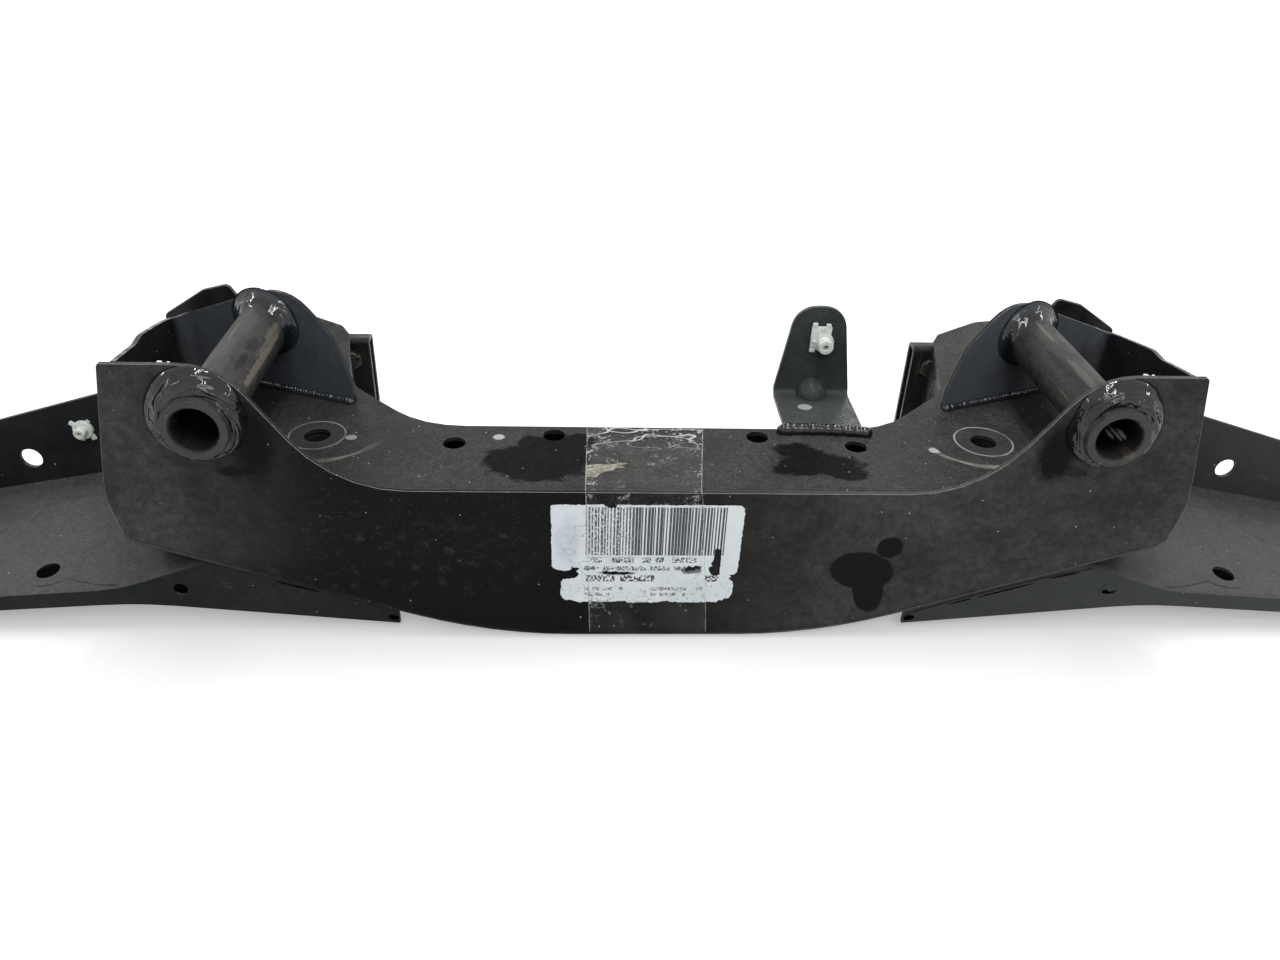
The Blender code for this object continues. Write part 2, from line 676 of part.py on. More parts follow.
def build_back_plate(name, sign, material):
    """The upright plate behind the dome, whose peak shows above it."""
    outline = rounded([(BACK_PLATE_INNER_X, ON_TOP),
                       (BACK_PLATE_INNER_X, BOX_HEIGHT + BACK_PLATE_INNER_RISE, 3.0),
                       (BACK_PLATE_PEAK_X - 4, BOX_HEIGHT + BACK_PLATE_PEAK_RISE, 4.0),
                       (BACK_PLATE_PEAK_X + 12, BOX_HEIGHT + BACK_PLATE_PEAK_RISE - 4, 8.0),
                       (ARM_OUTER_X, BOX_HEIGHT + BACK_PLATE_OUTER_RISE, 4.0),
                       (ARM_OUTER_X, ON_TOP)], closed=True)
    return extruded(name, [(sign * x, z) for x, z in outline], (BACK_PLATE_Y, BACK_PLATE_Y + SHEET),
                    upright, material)


def build_arm_wall(name, sign, material):
    """The wall under the outer and rear edges of an arm."""
    start = FOLD_Y + SHEET + 4 * GAP
    path = rounded([(ARM_OUTER_X, start), (ARM_OUTER_X, ARM_END_Y, 8.0),
                    (ARM_INNER_X + ARM_END_INSET, ARM_END_Y, 0.0),
                    (ARM_INNER_X + ARM_CORNER[0], ARM_END_Y - ARM_CORNER[1])])
    inner = offset(path, -SHEET)
    low = UNDER_TOP - ARM_WALL_DROP
    rings = [[(sign * x, y, UNDER_TOP), (sign * x, y, low), (sign * ix, iy, low), (sign * ix, iy, UNDER_TOP)]
             for (x, y), (ix, iy) in zip(path, inner)]
    return loft(name, rings, material)


def build_link_bracket(name, sign, material):
    """A channel that hangs under the arm and is open towards the middle, with its feet on the ground."""
    line = rounded([(LINK_Y[0], 0.0), (LINK_Y[0], UNDER_TOP, LINK_BEND), (LINK_Y[1], UNDER_TOP, LINK_BEND),
                    (LINK_Y[1], 0.0)])
    section = line + offset(line, SHEET)[::-1]
    rings = [[(sign * x, y, z) for y, z in section] for x in LINK_X]
    bracket = loft(name, rings, material)
    z = BOX_HEIGHT - LINK_BOLT_DROP
    tool = drum(f"{name}_hole", (sign * LINK_BOLT_X, LINK_Y[0] - 5, z),
                (sign * LINK_BOLT_X, LINK_Y[0] + SHEET + 5, z), LINK_BOLT_RADIUS + GAP, sides=16)
    use_tool(bracket, tool, "DIFFERENCE")
    return bracket


def build_link_bolt(name, sign, material):
    """A short six-sided bolt through the bracket's front wall, with its end behind the wall."""
    near, far = LINK_Y[0] - GAP, LINK_Y[0] + SHEET + GAP
    centre = (sign * LINK_BOLT_X, BOX_HEIGHT - LINK_BOLT_DROP)
    rings = [ring_about(centre, radius, y, sides=HEX_SIDES, six_sided=six_sided)
             for radius, y, six_sided in ((LINK_BOLT_HEAD, near - LINK_BOLT_HEAD_LENGTH, True),
                                          (LINK_BOLT_HEAD, near, True),
                                          (LINK_BOLT_RADIUS, near, False),
                                          (LINK_BOLT_RADIUS, far + LINK_BOLT_END, False))]
    return loft(name, rings, material)


def build_weld_nut(name, sign, material):
    """The nut welded under each bolt hole of the top plate."""
    top = BOX_HEIGHT - DISH_DEPTH - SHEET - GAP
    rings = []
    centre = Vector((sign * BOLT_HOLE_X, BOLT_HOLE_Y))
    for z in (top - NUT_LENGTH, top):
        rings.append([(centre.x + NUT_FLATS / 2 / cos(pi / 6) * cos(pi / 3 * side),
                       centre.y + NUT_FLATS / 2 / cos(pi / 6) * sin(pi / 3 * side), z) for side in range(6)])
    nut = loft(name, rings, material)
    tool = drum(f"{name}_bore", (centre.x, centre.y, top - NUT_LENGTH - 5), (centre.x, centre.y, top + 2),
                NUT_BORE_RADIUS, sides=20)
    use_tool(nut, tool, "DIFFERENCE")
    return nut


def build_cable_bracket(material):
    """An angle bracket whose foot laps the rear edge and whose rounded tab stands behind it."""
    low, half = ON_TOP, CABLE_WIDTH / 2
    line = rounded([(BOX_DEPTH - CABLE_LAP, low), (CABLE_TAB_Y + SHEET, low, CABLE_BEND + SHEET),
                    (CABLE_TAB_Y + SHEET, BOX_HEIGHT + CABLE_HEIGHT)])
    section = line + offset(line, -SHEET)[::-1]
    rings = [[(x, y, z) for y, z in section] for x in (CABLE_X - half, CABLE_X + half)]
    bracket = loft("cable_bracket", rings, material)
    top_half = CABLE_TOP_WIDTH / 2
    crown_z = BOX_HEIGHT + CABLE_HEIGHT
    shape = rounded([(CABLE_X - half - 1, low - 5), (CABLE_X - half - 1, low + SHEET + 2),
                     (CABLE_X - half, low + SHEET + 4),
                     (CABLE_X - top_half + 1, crown_z, top_half - 1), (CABLE_X + top_half - 1, crown_z, top_half - 1),
                     (CABLE_X + half, low + SHEET + 4), (CABLE_X + half + 1, low + SHEET + 2),
                     (CABLE_X + half + 1, low - 5)], closed=True)
    tool = extruded("cable_bracket_shape", shape, (BOX_DEPTH - CABLE_LAP - 5, CABLE_TAB_Y + SHEET + 5),
                    upright, None)
    use_tool(bracket, tool, "INTERSECT")
    base = low + SHEET
    rings = [[(CABLE_X + x, CABLE_TAB_Y - leg, base - 1), (CABLE_X + x, CABLE_TAB_Y - 3, base - 1),
              (CABLE_X + x, CABLE_TAB_Y + 1, base + 3), (CABLE_X + x, CABLE_TAB_Y + 1, base + leg)]
             for x, leg in CABLE_GUSSET]
    use_tool(bracket, loft("cable_bracket_gusset", rings, None), "UNION")
    return bracket


def build_clip(name, x, face_y, z, material):
    """A plastic cable clip: a plate on the sheet's front face with a drilled barrel."""
    width, thickness, height = CLIP_PLATE
    back = face_y - GAP
    outline = rounded([(x - width / 2, z - height / 2, 2.0), (x + width / 2, z - height / 2, 2.0),
                       (x + width / 2, z + height / 2, 2.0), (x - width / 2, z + height / 2, 2.0)], closed=True)
    clip = extruded(name, outline, (back - thickness, back), upright, material)
    centre_z = z - CLIP_BARREL_DROP
    barrel = drum(f"{name}_barrel", (x, back - thickness - CLIP_BARREL_LENGTH, centre_z),
                  (x, back - thickness / 2, centre_z), CLIP_BARREL_RADIUS, sides=20)
    use_tool(clip, barrel, "UNION")
    bore = drum(f"{name}_bore", (x, back - thickness - CLIP_BARREL_LENGTH - 3, centre_z),
                (x, back - thickness, centre_z), CLIP_HOLE_RADIUS, sides=12)
    use_tool(clip, bore, "DIFFERENCE")
    return clip


def build_edge_clip(name, sign, material):
    """A small plastic edge clip behind the top edge of an ear."""
    width, depth, height = EDGE_CLIP
    x = sign * EDGE_CLIP_X
    outline = rounded([(x - width / 2, EAR_TOP - height), (x + width / 2, EAR_TOP - height),
                       (x + width / 2, EAR_TOP + 0.6, 1.5), (x - width / 2, EAR_TOP + 1.4, 1.5)], closed=True)
    return extruded(name, outline, (BEHIND_FRONT, BEHIND_FRONT + depth), upright, material)


def build_label(material):
    """The paper label on the front plate."""
    width, height = LABEL
    left, top = LABEL_CENTRE_X - width / 2, BOX_HEIGHT - LABEL_DROP
    outline = rounded([(left, top - height, LABEL_CORNER), (left + width, top - height, LABEL_CORNER),
                       (left + width, top, LABEL_CORNER), (left, top, LABEL_CORNER)], closed=True)
    return extruded("label", outline, (-GAP - LABEL_THICKNESS, -GAP), upright, material)


def main():
    clear_scene()
    plate = finish("plate_black", (0.022, 0.022, 0.02), 0.45)
    dusty = finish("dusty_black", (0.05, 0.046, 0.04), 0.6)
    rear = finish("rear_black", (0.03, 0.032, 0.036), 0.45)
    grimy = finish("grimy_black", (0.09, 0.08, 0.065), 0.75)
    tube = finish("tube_black", (0.045, 0.043, 0.04), 0.55)
    weld = finish("weld_black", (0.015, 0.015, 0.016), 0.2)
    plated = finish("plated_steel", (0.3, 0.29, 0.27), 0.4, 0.9)
    ivory = finish("ivory_plastic", (0.8, 0.78, 0.68), 0.5)
    paper = finish("label_paper", (0.8, 0.82, 0.85), 0.6)
    build_front_plate(plate)
    build_top_plate(dusty)
    build_rear_wall(rear)
    build_bottom_plate(rear)
    pair("wing", build_wing, dusty)
    pair("ear_plate", build_ear_plate, rear)
    pair("back_plate", build_back_plate, grimy)
    pair("arm_wall", build_arm_wall, rear)
    pair("link_bracket", build_link_bracket, grimy)
    pair("link_bolt", build_link_bolt, plated)
    pair("sleeve", build_sleeve, tube)
    pair("front_weld", build_front_weld, weld)
    pair("rear_weld", build_rear_weld, weld)
    pair("weld_nut", build_weld_nut, plated)
    pair("edge_clip", build_edge_clip, ivory)
    build_cable_bracket(rear)
    build_clip("cable_clip", CABLE_CLIP[0], CABLE_TAB_Y, BOX_HEIGHT + CABLE_CLIP[1], ivory)
    build_clip("wing_clip", WING_CLIP[0], WING_BACK_Y, WING_CLIP[1], ivory)
    build_label(paper)


main()
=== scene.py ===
# %% [markdown]
# # A pressed-steel subframe, dressed for its portrait
#
# A subframe is the cross member that sits under a car and carries its suspension. This one is pressed from
# black-coated sheet about 2.6 mm thick: a box in the middle, two raised ears with a welded bolt sleeve each,
# two arms to the rear and two wings to the sides. It has been handled and stored, so it is dusty, scratched
# and stained.
#
# The solids come ready made from the CAD model. This lesson gives them what a photograph shows and a plain
# solid lacks: rounded cut edges, lumpy welds, clips, a torn sticker, clear tape, and a coat for each kind of
# surface. Everything is placed in the CAD model's own frame, so nothing has to be fitted by eye.

from math import cos, hypot, pi, radians, sin

import bmesh
import bpy
from mathutils import Matrix, Vector, noise
from mathutils.bvhtree import BVHTree
from mathutils.geometry import delaunay_2d_cdt


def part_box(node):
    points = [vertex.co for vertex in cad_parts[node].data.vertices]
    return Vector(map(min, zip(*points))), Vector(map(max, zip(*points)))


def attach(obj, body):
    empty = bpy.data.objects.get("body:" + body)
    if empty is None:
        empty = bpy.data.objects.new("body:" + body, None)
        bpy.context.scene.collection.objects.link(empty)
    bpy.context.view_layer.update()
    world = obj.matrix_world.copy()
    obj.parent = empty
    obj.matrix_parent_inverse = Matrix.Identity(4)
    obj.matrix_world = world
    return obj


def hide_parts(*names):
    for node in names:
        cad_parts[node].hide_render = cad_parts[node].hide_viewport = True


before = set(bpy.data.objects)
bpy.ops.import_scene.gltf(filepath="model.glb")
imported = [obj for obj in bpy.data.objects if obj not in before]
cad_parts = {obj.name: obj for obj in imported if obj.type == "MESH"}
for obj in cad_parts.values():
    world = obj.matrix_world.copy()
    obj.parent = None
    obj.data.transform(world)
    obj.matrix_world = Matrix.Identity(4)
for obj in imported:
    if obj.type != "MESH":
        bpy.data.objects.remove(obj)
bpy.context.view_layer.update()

# %% [markdown]
# ## Camera
#
# The photograph was taken from above the front edge, a little left of the middle, with a wide lens. Three
# angles say where the camera looks: how far down, how far round, and how much it is tipped sideways. A
# rotation could also be set as Euler angles, but building its three directions from the angles keeps each one
# readable.

# %% Place the camera
LOOK_DOWN, LOOK_ROUND, TIPPED = radians(32.35), radians(3.6), radians(-2.36)
CAMERA_PLACE = Vector((-0.0404, -0.5609, 0.3938))
FOCAL_PIXELS, IMAGE_WIDTH = 1002.9, 1280

ahead = Vector((sin(LOOK_ROUND) * cos(LOOK_DOWN), cos(LOOK_ROUND) * cos(LOOK_DOWN), -sin(LOOK_DOWN)))
level = Vector((cos(LOOK_ROUND), -sin(LOOK_ROUND), 0))
upward = level.cross(ahead)
right = level * cos(TIPPED) - upward * sin(TIPPED)
up = level * sin(TIPPED) + upward * cos(TIPPED)

camera = bpy.data.objects.new("camera", bpy.data.cameras.new("camera"))
bpy.context.scene.collection.objects.link(camera)
camera.matrix_world = Matrix.Translation(CAMERA_PLACE) @ Matrix((right, up, -ahead)).transposed().to_4x4()
camera.data.sensor_width = 36
camera.data.lens = FOCAL_PIXELS * 36 / IMAGE_WIDTH
bpy.context.scene.camera = camera
bpy.context.scene.view_settings.view_transform = "Standard"
print("lens", round(camera.data.lens, 1), "mm,", round((CAMERA_PLACE - Vector((0, 0, 0.1))).length, 2), "m away")

# %% [markdown]
# ## Floor and light
#
# The part lies on a pale studio floor. The floor is lit by the same lamps as the part, so it keeps the
# shadow, and a little glow that only camera and mirror rays see lifts the rest of it to white. Rows of strip
# lamps do most of the work, as in a store room: three overhead, four lower down at the sides and behind. They
# give the short, hard glints on the wet-looking welds: the part is satin black, and black metal is seen mostly
# by what it mirrors. The Standard view transform shows each colour about as it is written.

# %% The floor
def glow_for_mirrors(tree, strength):
    """An emission that only the camera and mirror or glass rays see."""
    path = tree.nodes.new("ShaderNodeLightPath")
    seen = path.outputs["Is Camera Ray"]
    for ray in ("Is Glossy Ray", "Is Transmission Ray"):
        either = tree.nodes.new("ShaderNodeMath")
        either.operation = "MAXIMUM"
        tree.links.new(seen, either.inputs[0])
        tree.links.new(path.outputs[ray], either.inputs[1])
        seen = either.outputs[0]
    amount = tree.nodes.new("ShaderNodeMath")
    amount.operation = "MULTIPLY"
    tree.links.new(seen, amount.inputs[0])
    amount.inputs[1].default_value = strength
    return amount.outputs[0]


FLOOR_HALF = 6.0
floor_mesh = bpy.data.meshes.new("floor")
floor_mesh.from_pydata([(-FLOOR_HALF, -FLOOR_HALF, 0), (FLOOR_HALF, -FLOOR_HALF, 0), (FLOOR_HALF, FLOOR_HALF, 0),
                        (-FLOOR_HALF, FLOOR_HALF, 0)], [], [(0, 1, 2, 3)])
floor = bpy.data.objects.new("floor", floor_mesh)
bpy.context.scene.collection.objects.link(floor)
floor_paint = bpy.data.materials.new("studio_floor")
floor_paint.use_nodes = True
floor_shader = floor_paint.node_tree.nodes["Principled BSDF"]
floor_shader.inputs["Base Color"].default_value = (0.8, 0.8, 0.8, 1)
floor_shader.inputs["Roughness"].default_value = 0.9
floor_shader.inputs["Specular IOR Level"].default_value = 0.1
floor_shader.inputs["Emission Color"].default_value = (1, 1, 1, 1)
floor_add, floor_link = floor_paint.node_tree.nodes.new, floor_paint.node_tree.links.new
far_off, farther = floor_add("ShaderNodeVectorMath"), floor_add("ShaderNodeMapRange")
far_off.operation = "LENGTH"
floor_link(floor_add("ShaderNodeTexCoord").outputs["Object"], far_off.inputs[0])
floor_link(far_off.outputs["Value"], farther.inputs["Value"])
GLOW_NEAR, GLOW_FAR, GLOW_LEAST, GLOW_MOST = 0.5, 2.2, 0.34, 0.95
for socket, value in zip(("From Min", "From Max", "To Min", "To Max"),
                         (GLOW_NEAR, GLOW_FAR, GLOW_LEAST, GLOW_MOST)):
    farther.inputs[socket].default_value = value
glow = floor_add("ShaderNodeMath")
glow.operation = "MULTIPLY"
floor_link(glow_for_mirrors(floor_paint.node_tree, 1.0), glow.inputs[0])
floor_link(farther.outputs[0], glow.inputs[1])
floor_link(glow.outputs[0], floor_shader.inputs["Emission Strength"])
floor_mesh.materials.append(floor_paint)

# %% The room and the lamps
world = bpy.data.worlds.new("studio")
bpy.context.scene.world = world
world.use_nodes = True
sky = world.node_tree.nodes["Background"]
sky.inputs["Color"].default_value = (0.96, 0.98, 1.0, 1)
ROOM_LIGHT = 0.30
room = world.node_tree.nodes.new("ShaderNodeMath")
room.operation = "ADD"
room.inputs[0].default_value = ROOM_LIGHT
world.node_tree.links.new(glow_for_mirrors(world.node_tree, 1.0 - ROOM_LIGHT), room.inputs[1])
world.node_tree.links.new(room.outputs[0], sky.inputs["Strength"])


def lamp(name, place, aim, size, watts, colour=(1, 1, 1)):
    """A soft rectangular lamp that points at a place."""
    light = bpy.data.lights.new(name, "AREA")
    light.shape = "RECTANGLE"
    light.size, light.size_y = size
    light.energy = watts
    light.color = colour
    holder = bpy.data.objects.new(name, light)
    bpy.context.scene.collection.objects.link(holder)
    turn = (Vector(aim) - Vector(place)).to_track_quat("-Z", "Y")
    holder.matrix_world = Matrix.Translation(place) @ turn.to_matrix().to_4x4()
    return holder


lamp("front_fill", (0.2, -1.5, 1.5), (0, 0, 0.1), (1.5, 0.8), 13, (0.97, 0.99, 1.0))
for number, (y, watts) in enumerate(((-0.35, 4.6), (0.1, 5.2), (0.65, 5.2))):
    lamp(f"tube_light_{number + 1}", (0.15 * number - 0.1, y, 1.45), (0, y, 0), (1.1, 0.045), watts)
for number, place in enumerate(((-1.3, 0.35, 0.85), (1.3, 0.35, 0.85), (-0.75, 1.35, 0.85), (0.75, 1.35, 0.85))):
    lamp(f"side_tube_{number + 1}", place, (0, 0, 0.1), (1.1, 0.045), 3.0)

# %% [markdown]
# ## A short way to write a finish
#
# Every finish here is one Principled material whose colour, roughness and bump come from small procedural
# steps: clouds of noise, soft-edged spots, scratches and flecks. Wiring such nodes by hand is long, so a small
# class names the steps. All patterns are read from Object coordinates. The pieces sit at the origin with
# their place in their mesh, so a pattern's sizes are real sizes in metres and a stain can be put at a real
# place.

# %% The class that writes a finish
class Finish:
    """A Principled material, written step by step."""

    def __init__(self, name, roughness=0.5, metallic=0.0, specular=0.5):
        self.material = bpy.data.materials.new(name)
        self.material.use_nodes = True
        self.tree = self.material.node_tree
        self.shader = self.tree.nodes["Principled BSDF"]
        self.set(Roughness=roughness, Metallic=metallic)
        self.shader.inputs["Specular IOR Level"].default_value = specular
        self.place = self.add("ShaderNodeTexCoord").outputs["Object"]
        self.normal = self.add("ShaderNodeNewGeometry").outputs["Normal"]

    def add(self, kind, settings=None, **sockets):
        node = self.tree.nodes.new(kind)
        for key, value in (settings or {}).items():
            setattr(node, key, value)
        for key, value in sockets.items():
            self.feed(node.inputs[int(key[1:]) if key[0] == "i" and key[1:].isdigit() else key], value)
        return node

    def feed(self, socket, value):
        if isinstance(value, bpy.types.NodeSocket):
            self.tree.links.new(value, socket)
        else:
            socket.default_value = value

    def set(self, **sockets):
        for key, value in sockets.items():
            self.feed(self.shader.inputs[key.replace("_", " ")], value)

    def maths(self, operation, a, b=0.0):
        return self.add("ShaderNodeMath", {"operation": operation}, i0=a, i1=b).outputs[0]

    def band(self, value, low, high, start=0.0, end=1.0):
        """A smooth step from start, at low, to end, at high."""
        return self.add("ShaderNodeMapRange", {"interpolation_type": "SMOOTHSTEP"}, i0=value, i1=low, i2=high,
                        i3=start, i4=end).outputs[0]

    def at(self, centre=(0, 0, 0), size=(1, 1, 1), turn=(0, 0, 0)):
        """The place on the piece as seen from a centre, in units of size."""
        return self.add("ShaderNodeMapping", {"vector_type": "TEXTURE"}, Vector=self.place, Location=centre,
                        Rotation=turn, Scale=size).outputs[0]

    def axes(self, place=None):
        """The x, y and z of a place, or else of the place on the piece."""
        return self.add("ShaderNodeSeparateXYZ", i0=self.place if place is None else place).outputs

    def length(self, vector):
        """How long a vector is."""
        return self.add("ShaderNodeVectorMath", {"operation": "LENGTH"}, i0=vector).outputs["Value"]

    def clouds(self, size, detail=4.0, rough=0.55, stretch=(1, 1, 1), turn=(0, 0, 0), shift=(0, 0, 0)):
        """Noise whose lumps are about size metres across."""
        where = self.at(shift, stretch, turn)
        return self.add("ShaderNodeTexNoise", Vector=where, Scale=1 / size, Detail=detail,
                        Roughness=rough).outputs[0]

    def mix(self, share, a, b):
        """Colour a, or b where share is 1."""
        node = self.add("ShaderNodeMix", {"data_type": "RGBA"})
        for socket, value in zip((node.inputs[0], node.inputs[6], node.inputs[7]), (share, a, b)):
            self.feed(socket, (*value, 1) if isinstance(value, tuple) and len(value) == 3 else value)
        return node.outputs[2]

    def facing(self, direction, low, high):
        """1 where the surface faces a direction."""
        dot = self.add("ShaderNodeVectorMath", {"operation": "DOT_PRODUCT"}, i0=self.normal, i1=direction)
        return self.band(dot.outputs["Value"], low, high)

    def spot(self, centre, size, edge=0.15, ragged=0.0, grain=0.006, turn=(0, 0, 0)):
        """1 inside an ellipsoid about a place, with a ragged edge."""
        away = self.length(self.at(centre, size, turn))
        if ragged:
            away = self.maths("ADD", away, self.maths("MULTIPLY_ADD", self.clouds(grain, 5.0, 0.6), 2 * ragged))
            away.node.inputs[1].links[0].from_node.inputs[2].default_value = -ragged
        return self.band(away, 1 + edge, 1 - edge)

    def flecks(self, spacing, radius, share):
        """Small round dots: one in each cell of a grid, kept in a share of the cells."""
        cells = self.add("ShaderNodeTexVoronoi", {"feature": "F1"}, Vector=self.place, Scale=1 / spacing)
        dot = self.band(cells.outputs["Distance"], radius / spacing, 0.6 * radius / spacing)
        chance = self.add("ShaderNodeSeparateColor", i0=cells.outputs["Color"]).outputs[0]
        return self.maths("MULTIPLY", dot, self.maths("LESS_THAN", chance, share))

    def scratches(self, length, turn, share, shift=(0, 0, 0)):
        """Fine lines, long in one direction."""
        lines = self.clouds(0.0007, 2.0, 0.5, stretch=(length / 0.0007, 1, length / 0.004), turn=turn, shift=shift)
        patches = self.clouds(0.03, 3.0, shift=shift)
        return self.maths("MULTIPLY", self.band(lines, 1 - share, 1 - 0.8 * share), self.band(patches, 0.54, 0.66))

    def inside(self, value, low, high):
        """1 where a value lies between two others."""
        return self.maths("MULTIPLY", self.maths("GREATER_THAN", value, low), self.maths("LESS_THAN", value, high))

    def chance(self, *values):
        """An even random number for each whole-number place."""
        place = self.add("ShaderNodeCombineXYZ", **{f"i{i}": value for i, value in enumerate(values)})
        return self.add("ShaderNodeTexWhiteNoise", {"noise_dimensions": "3D"}, Vector=place.outputs[0]).outputs[0]

    def relief(self, height, strength, depth):
        """Bumps from a height between 0 and 1."""
        bump = self.add("ShaderNodeBump", Height=height, Strength=strength, Distance=depth)
        if self.shader.inputs["Normal"].is_linked:
            self.tree.links.new(self.shader.inputs["Normal"].links[0].from_socket, bump.inputs["Normal"])
        self.set(Normal=bump.outputs[0])


def mm(x, y, z):
    """A place in metres from millimetres, with y counted back from the front plate's face."""
    return Vector((x, y - 114.0, z)) * 0.001


print("a finish is ready to be written")

# %% [markdown]
# ## The black coat
#
# The sheets carry one satin black dip coat. What differs from place to place is what lies on it: a grey
# film, brown dust where the sheet faces up, tiny pale flecks, scratches and wet stains. One function writes
# the coat with those amounts as arguments, and each kind of sheet calls it with its own. A texture painted by
# hand would give more control, but it would be tied to one image and one size.

# %% Write a coat
DUST = (0.125, 0.122, 0.114)
PALE = (0.5, 0.52, 0.5)


def black_coat(name, black, film, film_share=0.5, dust_share=0.5, specular=0.05, gloss=(0.32, 0.6), flecks=0.12,
               stains=None, scratch=0.12, shift=0.0):
    """The dip coat with its film, dust, flecks and scratches. stains may add more on top of the colour, painted
    light and shade among it.
    """
    coat = Finish(name, specular=specular)
    veil = coat.band(coat.clouds(0.12, 4.0, 0.6, shift=(shift, 0, 0)), 0.36, 0.62)
    mottle = coat.band(coat.clouds(0.016, 7.0, 0.72, shift=(0.3 + shift, 0.1, 0.2)), 0.36, 0.66)
    blotch = coat.band(coat.clouds(0.034, 7.0, 0.7, shift=(shift, 0.6, 0)), 0.44, 0.6)
    share = coat.maths("ADD", coat.maths("ADD", veil, mottle), blotch)
    share = coat.maths("MULTIPLY", share, 0.34 * film_share)
    colour = coat.mix(share, black, film)
    upward_face = coat.facing((0, 0, 1), 0.25, 0.95)
    grain = coat.band(coat.clouds(0.0011, 3.0, 0.75), 0.3, 0.72)
    lying = coat.maths("MULTIPLY", upward_face, coat.band(grain, 0, 1, 0.45, 1.0))
    lying = coat.maths("MULTIPLY", lying, coat.band(mottle, 0, 1, 0.6 * dust_share, dust_share))
    colour = coat.mix(lying, colour, DUST)
    colour = coat.mix(coat.band(grain, 0, 1, 0.55, 0.0), colour, black)
    coarse = coat.band(coat.clouds(0.0036, 6.0, 0.8, shift=(0.5, 0, 0.1)), 0.38, 0.62)
    colour = coat.mix(coat.band(coarse, 0, 1, 0.42, 0.0), colour, black)
    speck = coat.band(coat.clouds(0.0016, 2.0, 0.6, shift=(0, 0.4, 0)), 0.6, 0.74)
    colour = coat.mix(coat.maths("MULTIPLY", speck, 0.22), colour, DUST)
    roughness = coat.maths("ADD", coat.band(mottle, 0, 1, *gloss), coat.maths("MULTIPLY", lying, 0.15))
    dots = coat.flecks(0.0085, 0.00045, flecks)
    lines = coat.maths("MAXIMUM", coat.scratches(0.03, (0, radians(14), 0), 0.36, (0.1, 0, 0)),
                       coat.scratches(0.018, (0.2, radians(-38), 0.3), 0.32, (0, 0.3, 0.1)))
    colour = coat.mix(coat.maths("MULTIPLY", lines, scratch), colour, PALE)
    if stains:
        colour, roughness = stains(coat, colour, roughness)
    colour = coat.mix(coat.maths("MULTIPLY", dots, 0.75), colour, PALE)
    coat.set(Base_Color=colour, Roughness=roughness)
    coat.relief(coat.clouds(0.0022, 2.0), 0.12, 0.0004)
    coat.relief(coat.clouds(0.05, 2.0), 0.25, 0.0012)
    return coat.material


def wet(coat, colour, roughness, mask, dark, shine=0.22):
    """A wet stain: darker and smoother than what is round it."""
    return (coat.mix(mask, colour, dark),
            coat.add("ShaderNodeMix", {"data_type": "FLOAT"}, i0=mask, i2=roughness, i3=shine).outputs[0])
